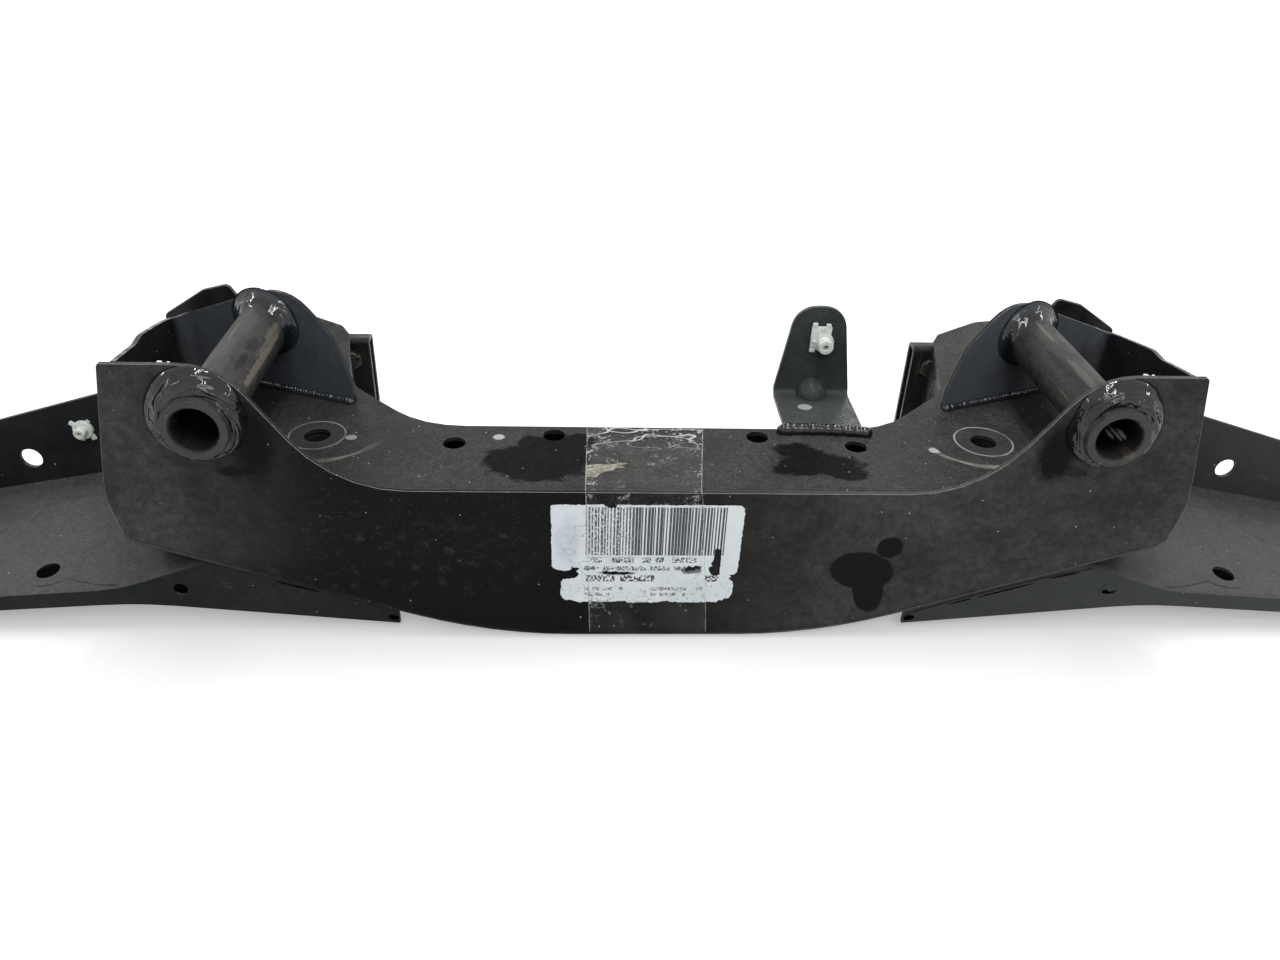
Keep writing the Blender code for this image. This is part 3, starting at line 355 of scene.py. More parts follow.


# %% [markdown]
# The front plate is the darkest sheet. A leaf-shaped stain from a drop that ran, a smaller one above it, and
# brown smears under the collars are put where they are on the real plate. The lower roll gets a painted
# highlight with a band of painted shade above it, and painted shadow lies below each collar's inner side.

# %% The front plate's coat
def plate_stains_and_shading(coat, colour, roughness):
    x, y, z = coat.axes()
    hazy = coat.maths("MAXIMUM", coat.band(x, -0.17, -0.28), coat.band(x, -0.01, 0.13))
    hazy = coat.maths("MULTIPLY", hazy, coat.band(coat.clouds(0.045, 8.0, 0.75), 0.32, 0.62, 0.4, 1.0))
    hazy = coat.maths("MULTIPLY", hazy, coat.band(coat.clouds(0.005, 6.0, 0.8), 0.35, 0.65, 0.55, 1.0))
    haze_tone = coat.mix(coat.band(x, 0.0, 0.2), (0.100, 0.096, 0.088), (0.094, 0.092, 0.085))
    colour = coat.mix(coat.maths("MULTIPLY", hazy, 0.9), colour, haze_tone)
    low_left = coat.maths("MULTIPLY", coat.band(x, 0.0, -0.06), coat.band(z, 0.07, 0.035))
    colour = coat.mix(coat.maths("MULTIPLY", low_left, 0.8), colour, (0.004, 0.0045, 0.005))
    # Painted highlight: the down-turned faces of the lower roll are made paler.
    roll_highlight = coat.maths("MULTIPLY", coat.facing((0, 0, -1), 0.05, 0.45), coat.band(x, -0.03, 0.14, 0.0, 0.8))
    roll_highlight = coat.maths("MAXIMUM", roll_highlight, coat.maths("MULTIPLY", coat.facing((0, 0, -1), 0.05, 0.45),
                                                  coat.band(x, -0.2, -0.26, 0.0, 0.28)))
    colour = coat.mix(roll_highlight, colour, (0.066, 0.064, 0.057))
    # Painted shade: a darker band where the plate begins to turn down into the roll.
    shade_above_roll = coat.maths("MULTIPLY", coat.facing((0, 0, -1), -0.02, 0.04), coat.facing((0, 0, -1), 0.2, 0.05))
    colour = coat.mix(coat.maths("MULTIPLY", shade_above_roll, 0.7), colour, (0.008, 0.009, 0.01))
    # Painted shadow below the inner side of each collar, drawn as a dark wet patch.
    shade = coat.maths("MAXIMUM", coat.spot(mm(-210, 0, 131), (0.010, 0.02, 0.020), 0.4, 0.4),
                       coat.spot(mm(209, 0, 130), (0.0105, 0.02, 0.019), 0.35, 0.4))
    colour, roughness = wet(coat, colour, roughness, coat.maths("MULTIPLY", shade, 0.92), (0.003, 0.003, 0.003),
                            0.25)
    drip = coat.spot(mm(216, 0, 118.4), (0.0125, 0.02, 0.0036), 0.3, 0.6, 0.003, turn=(0, radians(10), 0))
    drip = coat.maths("MAXIMUM", drip, coat.spot(mm(208, 0, 126), (0.0075, 0.02, 0.010), 0.3, 0.6, 0.003))
    drip = coat.maths("MAXIMUM", drip, coat.spot(mm(-222, 0, 113.5), (0.010, 0.02, 0.0028), 0.3, 0.6, 0.003))
    colour, roughness = wet(coat, colour, roughness, coat.maths("MULTIPLY", drip, 0.85), (0.004, 0.004, 0.004), 0.2)
    leaf = coat.spot(mm(116, 0, 50), (0.0185, 0.02, 0.013), 0.05, 0.1, 0.01, turn=(0, radians(12), 0))
    tip = coat.spot(mm(121.5, 0, 36), (0.009, 0.02, 0.016), 0.08, 0.1, 0.01, turn=(0, radians(-12), 0))
    small = coat.spot(mm(129.3, 0, 66.5), (0.0075, 0.02, 0.007), 0.1, 0.1, 0.01)
    drops = coat.maths("MAXIMUM", coat.maths("MAXIMUM", leaf, tip), small)
    colour, roughness = wet(coat, colour, roughness, drops, (0.006, 0.007, 0.006), 0.3)
    tan = coat.maths("MAXIMUM", coat.spot(mm(-237, 0, 118.5), (0.006, 0.02, 0.004), 0.5, 0.7),
                     coat.spot(mm(221, 0, 118), (0.005, 0.02, 0.004), 0.5, 0.7))
    colour = coat.mix(coat.maths("MULTIPLY", tan, 0.3), colour, (0.055, 0.044, 0.036))
    smear = coat.spot(mm(2.8, 0, 11), (0.03, 0.02, 0.007), 0.5, 0.6)
    colour, roughness = wet(coat, colour, roughness, coat.maths("MULTIPLY", smear, 0.6), (0.008, 0.008, 0.008), 0.3)
    chalk = coat.spot(mm(-150, 0, 55), (0.09, 0.02, 0.03), 0.5, 0.5, 0.02)
    chalk = coat.maths("MULTIPLY", chalk, coat.band(coat.clouds(0.008, 6.0, 0.75, shift=(0.1, 0, 0.3)), 0.54, 0.66))
    return coat.mix(coat.maths("MULTIPLY", chalk, 0.28), colour, (0.065, 0.067, 0.066)), roughness


plate_coat = black_coat("front_plate_coat", (0.004, 0.0045, 0.0045), (0.017, 0.017, 0.0155), 0.8, 0.3, 0.05,
                        stains=plate_stains_and_shading, scratch=0.05)

# %% [markdown]
# The top sheet lies flat, so it has caught the most dust. Two dark patches are still wet from cleaning. Round
# each bolt hole, a washer has pressed a thin bright ring into the dust, and small dots of pale marking paint
# sit beside the holes. A painted highlight lies on the near side of the shallow dish round each hole.

# %% The top sheet's coat
HOLE_X, HOLE_Y, TOP_Z = 195.5, 61.0, 102.0
WASHER_RADIUS = {-1: 0.0159, 1: 0.0170}


def washer_mark(coat, centre, radius, width, deep=1.0):
    """A thin ring about a place, seen from above."""
    flat_place = coat.at(centre, (1, deep, 1000))
    away = coat.add("ShaderNodeVectorMath", {"operation": "LENGTH"}, i0=flat_place).outputs["Value"]
    off = coat.maths("ABSOLUTE", coat.maths("SUBTRACT", away, radius))
    return coat.band(off, width, 0.4 * width)


def top_stains_and_highlight(coat, colour, roughness):
    patches = None
    for x, y, wide, deep in ((-69, 26, 25, 15), (-66, 46, 14, 15), (-83, 32, 15, 16), (-52, 38, 13, 18),
                             (-52, 54, 18, 9), (88, 30, 27, 13), (80, 46, 14, 8), (104, 22, 12, 8)):
        patch = coat.spot(mm(x, y, TOP_Z), (wide * 0.001, deep * 0.001, 0.03), 0.2, 0.75, 0.009)
        patches = coat.maths("MAXIMUM", patches, patch) if patches else patch
    for side in (-1, 1):
        hole = mm(side * HOLE_X, HOLE_Y, TOP_Z)
        washer = WASHER_RADIUS[side]
        seat = coat.spot(hole, (washer, washer, 0.1), 0.02)
        colour = coat.mix(coat.maths("MULTIPLY", seat, 0.35), colour, (0.05, 0.052, 0.053))
        worn = coat.band(coat.clouds(0.012, 4.0), 0.35, 0.6, 0.35, 0.85)
        colour = coat.mix(coat.maths("MULTIPLY", washer_mark(coat, hole, washer, 0.00075), worn), colour,
                          (0.36, 0.37, 0.36))
        # Painted highlight: a pale arc on the near side of the shallow dish round each hole.
        dish_highlight_side = coat.band(coat.maths("SUBTRACT", coat.axes()[1], hole.y), -0.005, -0.03)
        rim = coat.maths("MULTIPLY", washer_mark(coat, hole, 0.0385, 0.0036, 0.76), dish_highlight_side)
        rim = coat.maths("MULTIPLY", rim, coat.band(coat.clouds(0.02, 3.0), 0.35, 0.6, 0.4, 1.0))
        colour = coat.mix(coat.maths("MULTIPLY", rim, 0.8), colour, (0.31, 0.31, 0.285))
    for x, y in ((-175.6, 58.7), (161.5, 47.5), (-91.2, 58.1)):
        dot = coat.spot(mm(x, y, TOP_Z), (0.0033, 0.0029, 0.01), 0.15, 0.2, 0.002)
        colour = coat.mix(coat.maths("MULTIPLY", dot, 0.85), colour, (0.42, 0.44, 0.44))
    x, y, _ = coat.axes()
    off_middle = coat.maths("ABSOLUTE", x)
    arm = coat.maths("MULTIPLY", coat.band(off_middle, 0.235, 0.27), coat.band(y, -0.02, 0.015))
    darker = coat.maths("MAXIMUM", coat.maths("MULTIPLY", arm, 0.68), coat.band(x, -0.1, -0.2, 0.0, 0.5))
    darker = coat.maths("MAXIMUM", darker, coat.band(y, -0.104, -0.1135, 0.0, 0.3))
    colour = coat.mix(darker, colour, (0.014, 0.0145, 0.014))
    swirl = coat.clouds(0.012, 5.0, 0.7, stretch=(1, 2.6, 1), turn=(0, 0, radians(24)), shift=(0.4, 0, 0))
    swirl = coat.maths("MULTIPLY", coat.band(swirl, 0.48, 0.6), arm)
    colour = coat.mix(coat.maths("MULTIPLY", swirl, 0.6), colour, (0.13, 0.118, 0.093))
    spotty = coat.band(coat.clouds(0.0035, 6.0, 0.8, shift=(0.2, 0.2, 0)), 0.34, 0.62, 1.0, 0.88)
    return wet(coat, colour, roughness, coat.maths("MULTIPLY", patches, spotty), (0.0015, 0.002, 0.0025), 0.55)


def right_sheen_left_darker(coat, colour, roughness):
    """Painted sheen on the right wing's upright faces, paler flat faces, and darker upright faces on the left."""
    x = coat.axes()[0]
    upright = coat.facing((0, 0, 1), 0.7, 0.3)
    # Painted sheen on the upright faces of the right wing.
    lit = coat.maths("MULTIPLY", coat.band(x, 0.0, 0.12), upright)
    colour = coat.mix(coat.maths("MULTIPLY", lit, 0.5), colour, (0.075, 0.078, 0.076))
    flat = coat.maths("MULTIPLY", coat.facing((0, 0, 1), 0.6, 0.95), 0.22)
    colour = coat.mix(flat, colour, (0.16, 0.16, 0.15))
    # The upright faces of the left wing are made darker.
    return coat.mix(coat.maths("MULTIPLY", coat.band(x, 0.05, -0.05, 0, 0.6), upright), colour,
                    (0.008, 0.009, 0.010)), roughness


def front_sheen_dark_sides(coat, colour, roughness):
    """Bluish film on what faces the front, lighter to the right as a painted sheen; painted shade on the side walls
    and deep in the box.
    """
    x = coat.axes()[0]
    # Bluish film that is partly a painted sheen, stronger to the right.
    colour = coat.mix(coat.band(x, -0.05, 0.19, 0.3, 0.65), colour, (0.125, 0.135, 0.150))
    # Painted shade on every face that does not face the front.
    away = coat.maths("SUBTRACT", 1.0, coat.facing((0, -1, 0), 0.1, 1.0))
    colour = coat.mix(coat.maths("MULTIPLY", away, 0.92), colour, (0.003, 0.0035, 0.004))
    rusty = coat.maths("MAXIMUM", coat.spot(mm(-291, 132, 116), (0.013, 0.013, 0.010), 0.5, 0.4),
                       coat.spot(mm(289, 131, 121), (0.013, 0.013, 0.010), 0.5, 0.4))
    colour = coat.mix(coat.maths("MULTIPLY", rusty, 0.3), colour, (0.05, 0.037, 0.034))
    z = coat.axes()[2]
    # Painted shade on the front-facing wall deep inside the box, under the top sheet.
    shade_in_box = coat.maths("MULTIPLY", coat.facing((0, -1, 0), 0.2, 0.6), coat.band(z, 0.1, 0.098, 0.0, 0.95))
    return coat.mix(shade_in_box, colour, (0.001, 0.001, 0.001)), roughness


top_coat = black_coat("top_sheet_coat", (0.018, 0.0185, 0.018), (0.067, 0.066, 0.061), 0.9, 0.52, 0.03, flecks=0.35,
                      stains=top_stains_and_highlight)
wing_coat = black_coat("wing_coat", (0.015, 0.018, 0.021), (0.080, 0.085, 0.086), 0.75, 0.8, 0.06, flecks=0.2,
                       stains=right_sheen_left_darker, shift=0.37)
# The cool blue in this black and its film is partly a painted reflection of cool light.
rear_coat = black_coat("rear_coat", (0.032, 0.036, 0.043), (0.105, 0.116, 0.132), 0.85, 0.35, 0.12, (0.2, 0.45),
                       flecks=0.2, stains=front_sheen_dark_sides)


def dark_inside(coat, colour, roughness):
    """What faces up is the inside of the box, where no dust or light gets in."""
    inside = coat.maths("MULTIPLY", coat.facing((0, 0, 1), 0.2, 0.6), 0.96)
    return coat.mix(inside, colour, (0.001, 0.001, 0.001)), roughness


def brown_dust(coat, colour, roughness):
    """Soft brown dust and a few pale streaks where water ran down."""
    dust = coat.band(coat.clouds(0.03, 7.0, 0.75, shift=(0.7, 0.2, 0)), 0.36, 0.66)
    colour = coat.mix(coat.maths("MULTIPLY", dust, 0.4), colour, (0.040, 0.037, 0.031))
    run = coat.band(coat.clouds(0.006, 4.0, 0.6, stretch=(1, 1, 5), shift=(0.3, 0, 0)), 0.6, 0.7)
    return coat.mix(coat.maths("MULTIPLY", run, 0.22), colour, (0.16, 0.15, 0.12)), roughness


def bracket_marks(coat, colour, roughness):
    """A dot of marking paint, and a paler foot."""
    z = coat.axes()[2]
    colour = coat.mix(coat.band(z, 0.118, 0.106, 0.0, 0.4), colour, (0.07, 0.073, 0.073))
    spot = coat.spot(mm(93.4, 93.6, 105), (0.0044, 0.0036, 0.01), 0.12, 0.15, 0.002)
    return coat.mix(coat.maths("MULTIPLY", spot, 0.8), colour, (0.4, 0.42, 0.42)), roughness


inside_coat = black_coat("bottom_sheet_coat", (0.010, 0.011, 0.011), (0.04, 0.04, 0.037), 0.5, 0.3, 0.04,
                         flecks=0.1, stains=dark_inside)
bracket_coat = black_coat("bracket_coat", (0.026, 0.033, 0.032), (0.085, 0.098, 0.094), 0.8, 0.35, 0.1, (0.2, 0.45),
                          flecks=0.2, stains=bracket_marks)
grimy_coat = black_coat("grimy_coat", (0.005, 0.005, 0.005), (0.022, 0.021, 0.018), 0.8, 0.25, 0.15, (0.25, 0.5),
                        flecks=0.25, stains=brown_dust, scratch=0.1)

# %% [markdown]
# ## Sheets with rounded edges
#
# A cut sheet edge is never perfectly sharp. Its tiny radius catches the light as a thin bright line, which is
# most of what is seen of a black part. Each sheet is a copy of its CAD node: the loose triangles are merged,
# flat ones are joined, and a narrow Bevel rounds every edge. The Bevel gives its faces a second material, so
# that the rounded edges are paler than the sheet, partly as wear and partly as a painted highlight. Weighted
# normals then let the big flat faces stay evenly shaded up to their edges. Moving the CAD mesh itself is not
# needed and not allowed.

# %% Round the edges of a sheet
def evaluated_mesh(holder):
    """A new mesh: the holder's own with its modifiers in it."""
    graph = bpy.context.evaluated_depsgraph_get()
    return bpy.data.meshes.new_from_object(holder.evaluated_get(graph), preserve_all_data_layers=True,
                                           depsgraph=graph)


def mesh_taken_from(holder):
    """The evaluated mesh of a helper object, without materials. The helper goes."""
    mesh = evaluated_mesh(holder)
    bpy.data.objects.remove(holder, do_unlink=True)
    mesh.materials.clear()
    return mesh


def applied(piece):
    """Makes the piece's evaluated mesh its own, and drops its modifiers."""
    mesh = evaluated_mesh(piece)
    piece.modifiers.clear()
    old, piece.data = piece.data, mesh
    bpy.data.meshes.remove(old)
    mesh.name = piece.name
    return piece


def new_piece(name, mesh, *materials):
    """An object at the origin for a mesh that already has its place."""
    piece = bpy.data.objects.new(name, mesh)
    bpy.context.scene.collection.objects.link(piece)
    if materials:
        mesh.materials.clear()
        for material in materials:
            mesh.materials.append(material)
    return piece


def merged_copy(node):
    """A node's mesh with its loose triangles merged and its flat faces joined."""
    shape = bmesh.new()
    shape.from_mesh(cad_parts[node].data)
    bmesh.ops.remove_doubles(shape, verts=shape.verts, dist=0.00001)
    bmesh.ops.dissolve_limit(shape, angle_limit=radians(0.4), verts=shape.verts, edges=shape.edges)
    for face in shape.faces:
        face.material_index = 0
    mesh = bpy.data.meshes.new(node)
    shape.to_mesh(mesh)
    shape.free()
    return mesh


def rounded_sheet(node, coat, edge_coat, slot, radius=0.0005, segments=2):
    """Stands for a CAD sheet: the same form with rounded edges."""
    piece = new_piece(f"{node}_sheet", merged_copy(node), coat, edge_coat)
    edge = piece.modifiers.new("cut_edge", "BEVEL")
    edge.width, edge.segments, edge.limit_method, edge.angle_limit = radius, segments, "ANGLE", radians(32)
    edge.material, edge.use_clamp_overlap, edge.miter_outer = 1, True, "MITER_SHARP"
    applied(piece)
    piece.data.shade_smooth()
    piece.data.set_sharp_from_angle(angle=radians(34))
    even = piece.modifiers.new("even_shading", "WEIGHTED_NORMAL")
    even.mode, even.weight, even.keep_sharp = "FACE_AREA", 90, True
    applied(piece)
    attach(piece, "root")
    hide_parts(node)
    return piece


# The rounded edges are paler: partly wear, partly a painted highlight of the edge's glint.
worn_edge_and_highlight = black_coat("worn_edge_and_highlight", (0.05, 0.052, 0.052), (0.2, 0.2, 0.19), 0.9, 0.3, 0.3, (0.25, 0.5))
plate_edge_and_highlight = black_coat("plate_edge", (0.10, 0.104, 0.106), (0.34, 0.35, 0.35), 0.9, 0.2, 0.4, (0.25, 0.5))
SHEETS = {"front_plate": (plate_coat, "plate_black"), "top_plate": (top_coat, "dusty_black"),
          "rear_wall": (rear_coat, "rear_black"), "bottom_plate": (inside_coat, "rear_black"),
          "cable_bracket": (bracket_coat, "rear_black")}
for side in ("left", "right"):
    SHEETS[f"{side}_wing"] = (wing_coat, "dusty_black")
    SHEETS[f"{side}_ear_plate"] = (rear_coat, "rear_black")
    SHEETS[f"{side}_back_plate"] = (grimy_coat, "grimy_black")
    SHEETS[f"{side}_arm_wall"] = (rear_coat, "rear_black")
    SHEETS[f"{side}_link_bracket"] = (grimy_coat, "grimy_black")
for node, (coat, slot) in SHEETS.items():
    sheet = rounded_sheet(node, coat, plate_edge_and_highlight if node == "front_plate" else worn_edge_and_highlight, slot)
    print(node, len(sheet.data.polygons), "faces")

# %% [markdown]
# ## Bolt sleeves
#
# Each ear carries a turned sleeve with a thicker collar in front. A turned part is a closed section swept
# round an axis, so the mesh is made the same way, with 96 steps: the solid's 40 would show as flats on the
# collar's rim.

# %% Turn a section round a sleeve's axis
SLEEVE_X, SLEEVE_Z = 232.6, 144.3
ROUND_STEPS = 96


def turned(name, axis, section, steps=ROUND_STEPS, lean=0.0):
    """A ring about an axis at (x, z) from a closed (radius, y) section in millimetres."""
    rows, count = [], len(section)
    for step in range(steps):
        angle = 2 * pi * step / steps
        rows += [mm(axis[0] + radius * cos(angle), y + lean * radius * cos(angle), axis[1] + radius * sin(angle))
                 for radius, y in section]
    faces = [(step * count + i, step * count + (i + 1) % count, (step + 1) % steps * count + (i + 1) % count,
              (step + 1) % steps * count + i) for step in range(steps) for i in range(count)]
    mesh = bpy.data.meshes.new(name)
    mesh.from_pydata(rows, [], faces)
    shape = bmesh.new()
    shape.from_mesh(mesh)
    bmesh.ops.recalc_face_normals(shape, faces=shape.faces)
    shape.to_mesh(mesh)
    shape.free()
    mesh.shade_smooth()
    mesh.set_sharp_from_angle(angle=radians(40))
    return mesh


BORE, TUBE, COLLAR, COLLAR_FRONT = 11.75, 14.5, 17.0, -12.0


def off_axis(coat):
    """How far a place is from the nearer sleeve's axis."""
    along_y = (1, 1000, 1)
    return coat.maths("MINIMUM", *(coat.length(coat.at(mm(sign * SLEEVE_X, 0, SLEEVE_Z), along_y))
                                   for sign in (-1, 1)))


def tube_coat():
    """Dusty grey-brown paint, scraped along the tube, with a rust patch in the right bore, painted shade down both
    bores and painted glints in the right one.
    """
    coat = Finish("sleeve_coat", specular=0.1)
    film = coat.band(coat.clouds(0.02, 5.0, 0.7, stretch=(1, 2, 1)), 0.35, 0.68)
    colour = coat.mix(film, (0.010, 0.010, 0.010), (0.030, 0.029, 0.027))
    lying = coat.maths("MULTIPLY", coat.facing((0, 0, 1), -0.1, 0.9),
                       coat.band(coat.clouds(0.0011, 3.0, 0.75), 0.3, 0.7, 0.35, 0.65))
    colour = coat.mix(lying, colour, (0.042, 0.041, 0.038))
    scrape = coat.clouds(0.008, 3.0, 0.55, stretch=(1, 7, 1), shift=(0.01, 0, 0))
    colour = coat.mix(coat.maths("MULTIPLY", coat.band(scrape, 0.6, 0.66), 0.75), colour, (0.010, 0.011, 0.012))
    streak = coat.clouds(0.005, 2.0, 0.5, stretch=(1, 14, 1), shift=(0.05, 0, 0))
    colour = coat.mix(coat.maths("MULTIPLY", coat.band(streak, 0.66, 0.72), 0.55), colour, (0.15, 0.135, 0.105))
    mottle = coat.band(coat.clouds(0.006, 7.0, 0.75, stretch=(1, 1.6, 1), shift=(0.2, 0, 0)), 0.4, 0.62)
    colour = coat.mix(coat.maths("MULTIPLY", mottle, 0.34), colour, (0.066, 0.063, 0.056))
    # Faces that face the front are paler: partly dust, partly a painted sheen.
    front_face_dust_and_sheen = coat.maths("MULTIPLY", coat.facing((0, -1, 0), 0.7, 0.95), 0.45)
    colour = coat.mix(front_face_dust_and_sheen, colour, (0.100, 0.102, 0.101))
    for x, y, z, wide, long, strength, tone in (
            (-223.6, 64.5, 155.6, 3.0, 8.0, 0.8, (0.006, 0.006, 0.007)),
            (-223.6, 42.0, 155.2, 2.0, 10.0, 0.75, (0.006, 0.006, 0.007)),
            (-218.6, 60.0, 148.4, 1.8, 36.0, 0.7, (0.17, 0.15, 0.115)),
            (-219.8, 88.0, 150.5, 3.0, 14.0, 0.5, (0.14, 0.125, 0.10)),
            (229.0, 30.0, 158.4, 2.2, 24.0, 0.4, (0.13, 0.12, 0.10))):
        mark = coat.spot(mm(x, y, z), (wide * 0.001, long * 0.001, wide * 0.0013), 0.12, 0.7, 0.004)
        colour = coat.mix(coat.maths("MULTIPLY", mark, strength), colour, tone)
    rust = coat.spot(mm(SLEEVE_X + 8.0, -10, SLEEVE_Z - 9.0), (0.003, 0.008, 0.0022), 0.4, 0.6, 0.003)
    colour = coat.mix(coat.maths("MULTIPLY", rust, 0.5), colour, (0.16, 0.11, 0.08))
    # Painted shade inside both bores, deepening towards the back.
    in_bore = coat.band(off_axis(coat), 0.0125, 0.0120)
    depth = coat.band(coat.axes()[1], -0.1245, -0.110, 0.35, 0.985)
    colour = coat.mix(coat.maths("MULTIPLY", in_bore, depth), colour, (0.002, 0.002, 0.002))
    # Painted glints of light on the right bore's lower wall.
    for x, y, z, wide, long in ((242.9, 5.0, 138.5, 1.0, 5.0), (241.7, 9.0, 136.8, 0.7, 8.0),
                                (239.9, 11.0, 135.1, 0.9, 4.5)):
        shine = coat.spot(mm(x, y, z), (wide * 0.001, long * 0.001, wide * 0.001), 0.4, 0.5, 0.002)
        colour = coat.mix(coat.maths("MULTIPLY", shine, in_bore), colour, (0.5, 0.5, 0.47))
    colour = coat.mix(coat.maths("MULTIPLY", coat.flecks(0.005, 0.0003, 0.3), 0.7), colour, PALE)
    coat.set(Base_Color=colour, Roughness=coat.band(film, 0, 1, 0.4, 0.6))
    coat.relief(coat.clouds(0.0016, 3.0), 0.2, 0.0003)
    return coat.material


sleeve_coat = tube_coat()


DOME_X, DOME_Y, FOLD_X, FOLD_Y = 181.0, 97.0, 296.0, 141.5
DOME_LEAN = (FOLD_Y - DOME_Y) / (FOLD_X - DOME_X)
PAST_DOME = 5.2


def sleeve(side, sign):
    """A sleeve with a broken edge at each end."""
    end = DOME_Y + (SLEEVE_X + TUBE - DOME_X) * (FOLD_Y - DOME_Y) / (FOLD_X - DOME_X) + PAST_DOME
    section = [(BORE + 0.9, COLLAR_FRONT), (COLLAR - 1.4, COLLAR_FRONT), (COLLAR - 0.5, COLLAR_FRONT + 0.4),
               (COLLAR, COLLAR_FRONT + 1.3), (COLLAR, -0.3), (TUBE, -0.3), (TUBE, end - 0.5), (TUBE - 0.5, end),
               (BORE + 0.5, end), (BORE, end - 0.5), (BORE, COLLAR_FRONT + 0.9)]
    mesh = turned(f"{side}_bolt_sleeve", (sign * SLEEVE_X, SLEEVE_Z), section)
    piece = new_piece(f"{side}_bolt_sleeve", mesh, sleeve_coat)
    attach(piece, "root")
    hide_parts(f"{side}_sleeve")


for side, sign in (("left", -1), ("right", 1)):
    sleeve(side, sign)
print("sleeves of", ROUND_STEPS, "steps")

# %% [markdown]
# ## The welds round the sleeves
#
# The collars are welded to the ears with a thick, uneven fillet, then dipped, so the weld looks wet. It is
# wider above the collar than below. A sculpted brush would do, but the form has a rule: a ring whose width
# and height wander with the angle. Smooth noise read along the ring gives the wandering, and the same place
# always gives the same value, so every run makes the same weld.

# %% A lumpy ring of weld
def weld_ring(name, sign, near, width, height, face_y, lean=0.0, lobes=(), seed=0.0, folds=0.2, form=(2.0, 0.75),
              steps=320, rows=26):
    """A closed fillet from a sleeve's side to a plate. lobes are (angle, spread, extra width share)."""
    points = []
    for step in range(steps):
        angle = 2 * pi * step / steps
        circle = Vector((cos(angle), sin(angle), 0))
        grow = 1 + 0.15 * noise.noise(circle * 1.3 + Vector((0, 0, seed)))
        for middle, spread, extra in lobes:
            off = (angle - middle + pi) % (2 * pi) - pi
            grow += extra * max(0.0, 1 - (off / spread) ** 2)
        for row in range(rows + 1):
            share = row / rows
            radius = near + width * grow * share
            swept = Vector((cos(angle + 0.9 * share), sin(angle + 0.9 * share), 0))
            fold = noise.noise(swept * 1.7 + Vector((0, 0, 2.2 * share + seed)))
            fold += 0.5 * noise.noise(swept * 3.6 + Vector((0, 0, 4.6 * share + seed)))
            crease = abs(noise.noise(swept * 1.5 + Vector((0, 0, 3.0 * share + seed + 5.0))))
            fold -= 0.3 * max(0.0, 1 - crease / 0.07) ** 2
            lift = height * ((1 - share ** form[0]) ** form[1] + folds * fold * sin(pi * (0.1 + 0.9 * share)))
            points.append((radius, -max(0.25, lift) if row < rows else -0.25, angle))
        points += [(near + width * grow, 0.05, angle), (near, 0.05, angle)]
    count = rows + 3
    verts = [mm(sign * SLEEVE_X + r * cos(a), face_y + y + lean * r * cos(a), SLEEVE_Z + r * sin(a))
             for r, y, a in points]
    faces = [(step * count + i, step * count + (i + 1) % count, (step + 1) % steps * count + (i + 1) % count,
              (step + 1) % steps * count + i) for step in range(steps) for i in range(count)]
    mesh = bpy.data.meshes.new(name)
    mesh.from_pydata(verts, [], faces)
    shape = bmesh.new()
    shape.from_mesh(mesh)
    bmesh.ops.recalc_face_normals(shape, faces=shape.faces)
    shape.to_mesh(mesh)
    shape.free()
    mesh.shade_smooth()
    mesh.set_sharp_from_angle(angle=radians(60))
    return mesh


def weld_coat():
    """Black coat over weld metal: glossy, with fine pits."""
    coat = Finish("wet_weld_coat", specular=0.5)
    tone = coat.band(coat.clouds(0.009, 4.0, 0.6), 0.35, 0.7)
    colour = coat.mix(tone, (0.004, 0.0045, 0.005), (0.014, 0.0155, 0.017))
    rear = coat.band(coat.axes()[1], -0.05, -0.03)
    blend = coat.band(off_axis(coat), 0.0165, 0.0205)
    colour = coat.mix(coat.maths("MULTIPLY", blend, rear), colour, (0.024, 0.027, 0.031))
    colour = coat.mix(coat.maths("MULTIPLY", coat.flecks(0.004, 0.0003, 0.12), 0.8), colour, (0.6, 0.62, 0.6))
    coat.set(Base_Color=colour, Roughness=coat.band(coat.clouds(0.006, 3.0), 0.35, 0.75, 0.02, 0.07))
    coat.relief(coat.clouds(0.005, 2.0, 0.5), 0.3, 0.0012)
    return coat.material


weld_finish = weld_coat()
for side, sign in (("left", -1), ("right", 1)):
    outer_up = radians(140) if sign < 0 else radians(40)
    ring = weld_ring(f"{side}_collar_weld", sign, 16.9, 5.6, 8.2, 0.0, folds=0.24,
                     lobes=((outer_up, radians(120), 1.05), (radians(90), radians(60), 0.25)), seed=3.0 + sign)
    piece = new_piece(f"{side}_collar_weld", ring, weld_finish)
    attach(piece, "root")
    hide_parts(f"{side}_front_weld")
    dome_face = DOME_Y + (SLEEVE_X - DOME_X) * DOME_LEAN
    ring = weld_ring(f"{side}_dome_weld", sign, 14.4, 5.4, 9.5, dome_face, lean=sign * DOME_LEAN,
                     lobes=((radians(80 if sign < 0 else 100), radians(125), 0.6),), seed=8.0 + sign, folds=0.13,
                     form=(1.05, 1.7))
    piece = new_piece(f"{side}_dome_weld", ring, weld_finish)
    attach(piece, "root")
    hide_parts(f"{side}_rear_weld")
print("four weld rings")

# %% [markdown]
# ## Weld beads along the seams
#
# A machine weld is a row of overlapping ripples that follows a seam. This is what Geometry Nodes are for: a
# curve is cut into even steps, a small flattened drop is set on each step and turned along the curve, and a
# seed makes the drops differ. The tree is built once and used for every seam with its own width and spacing.

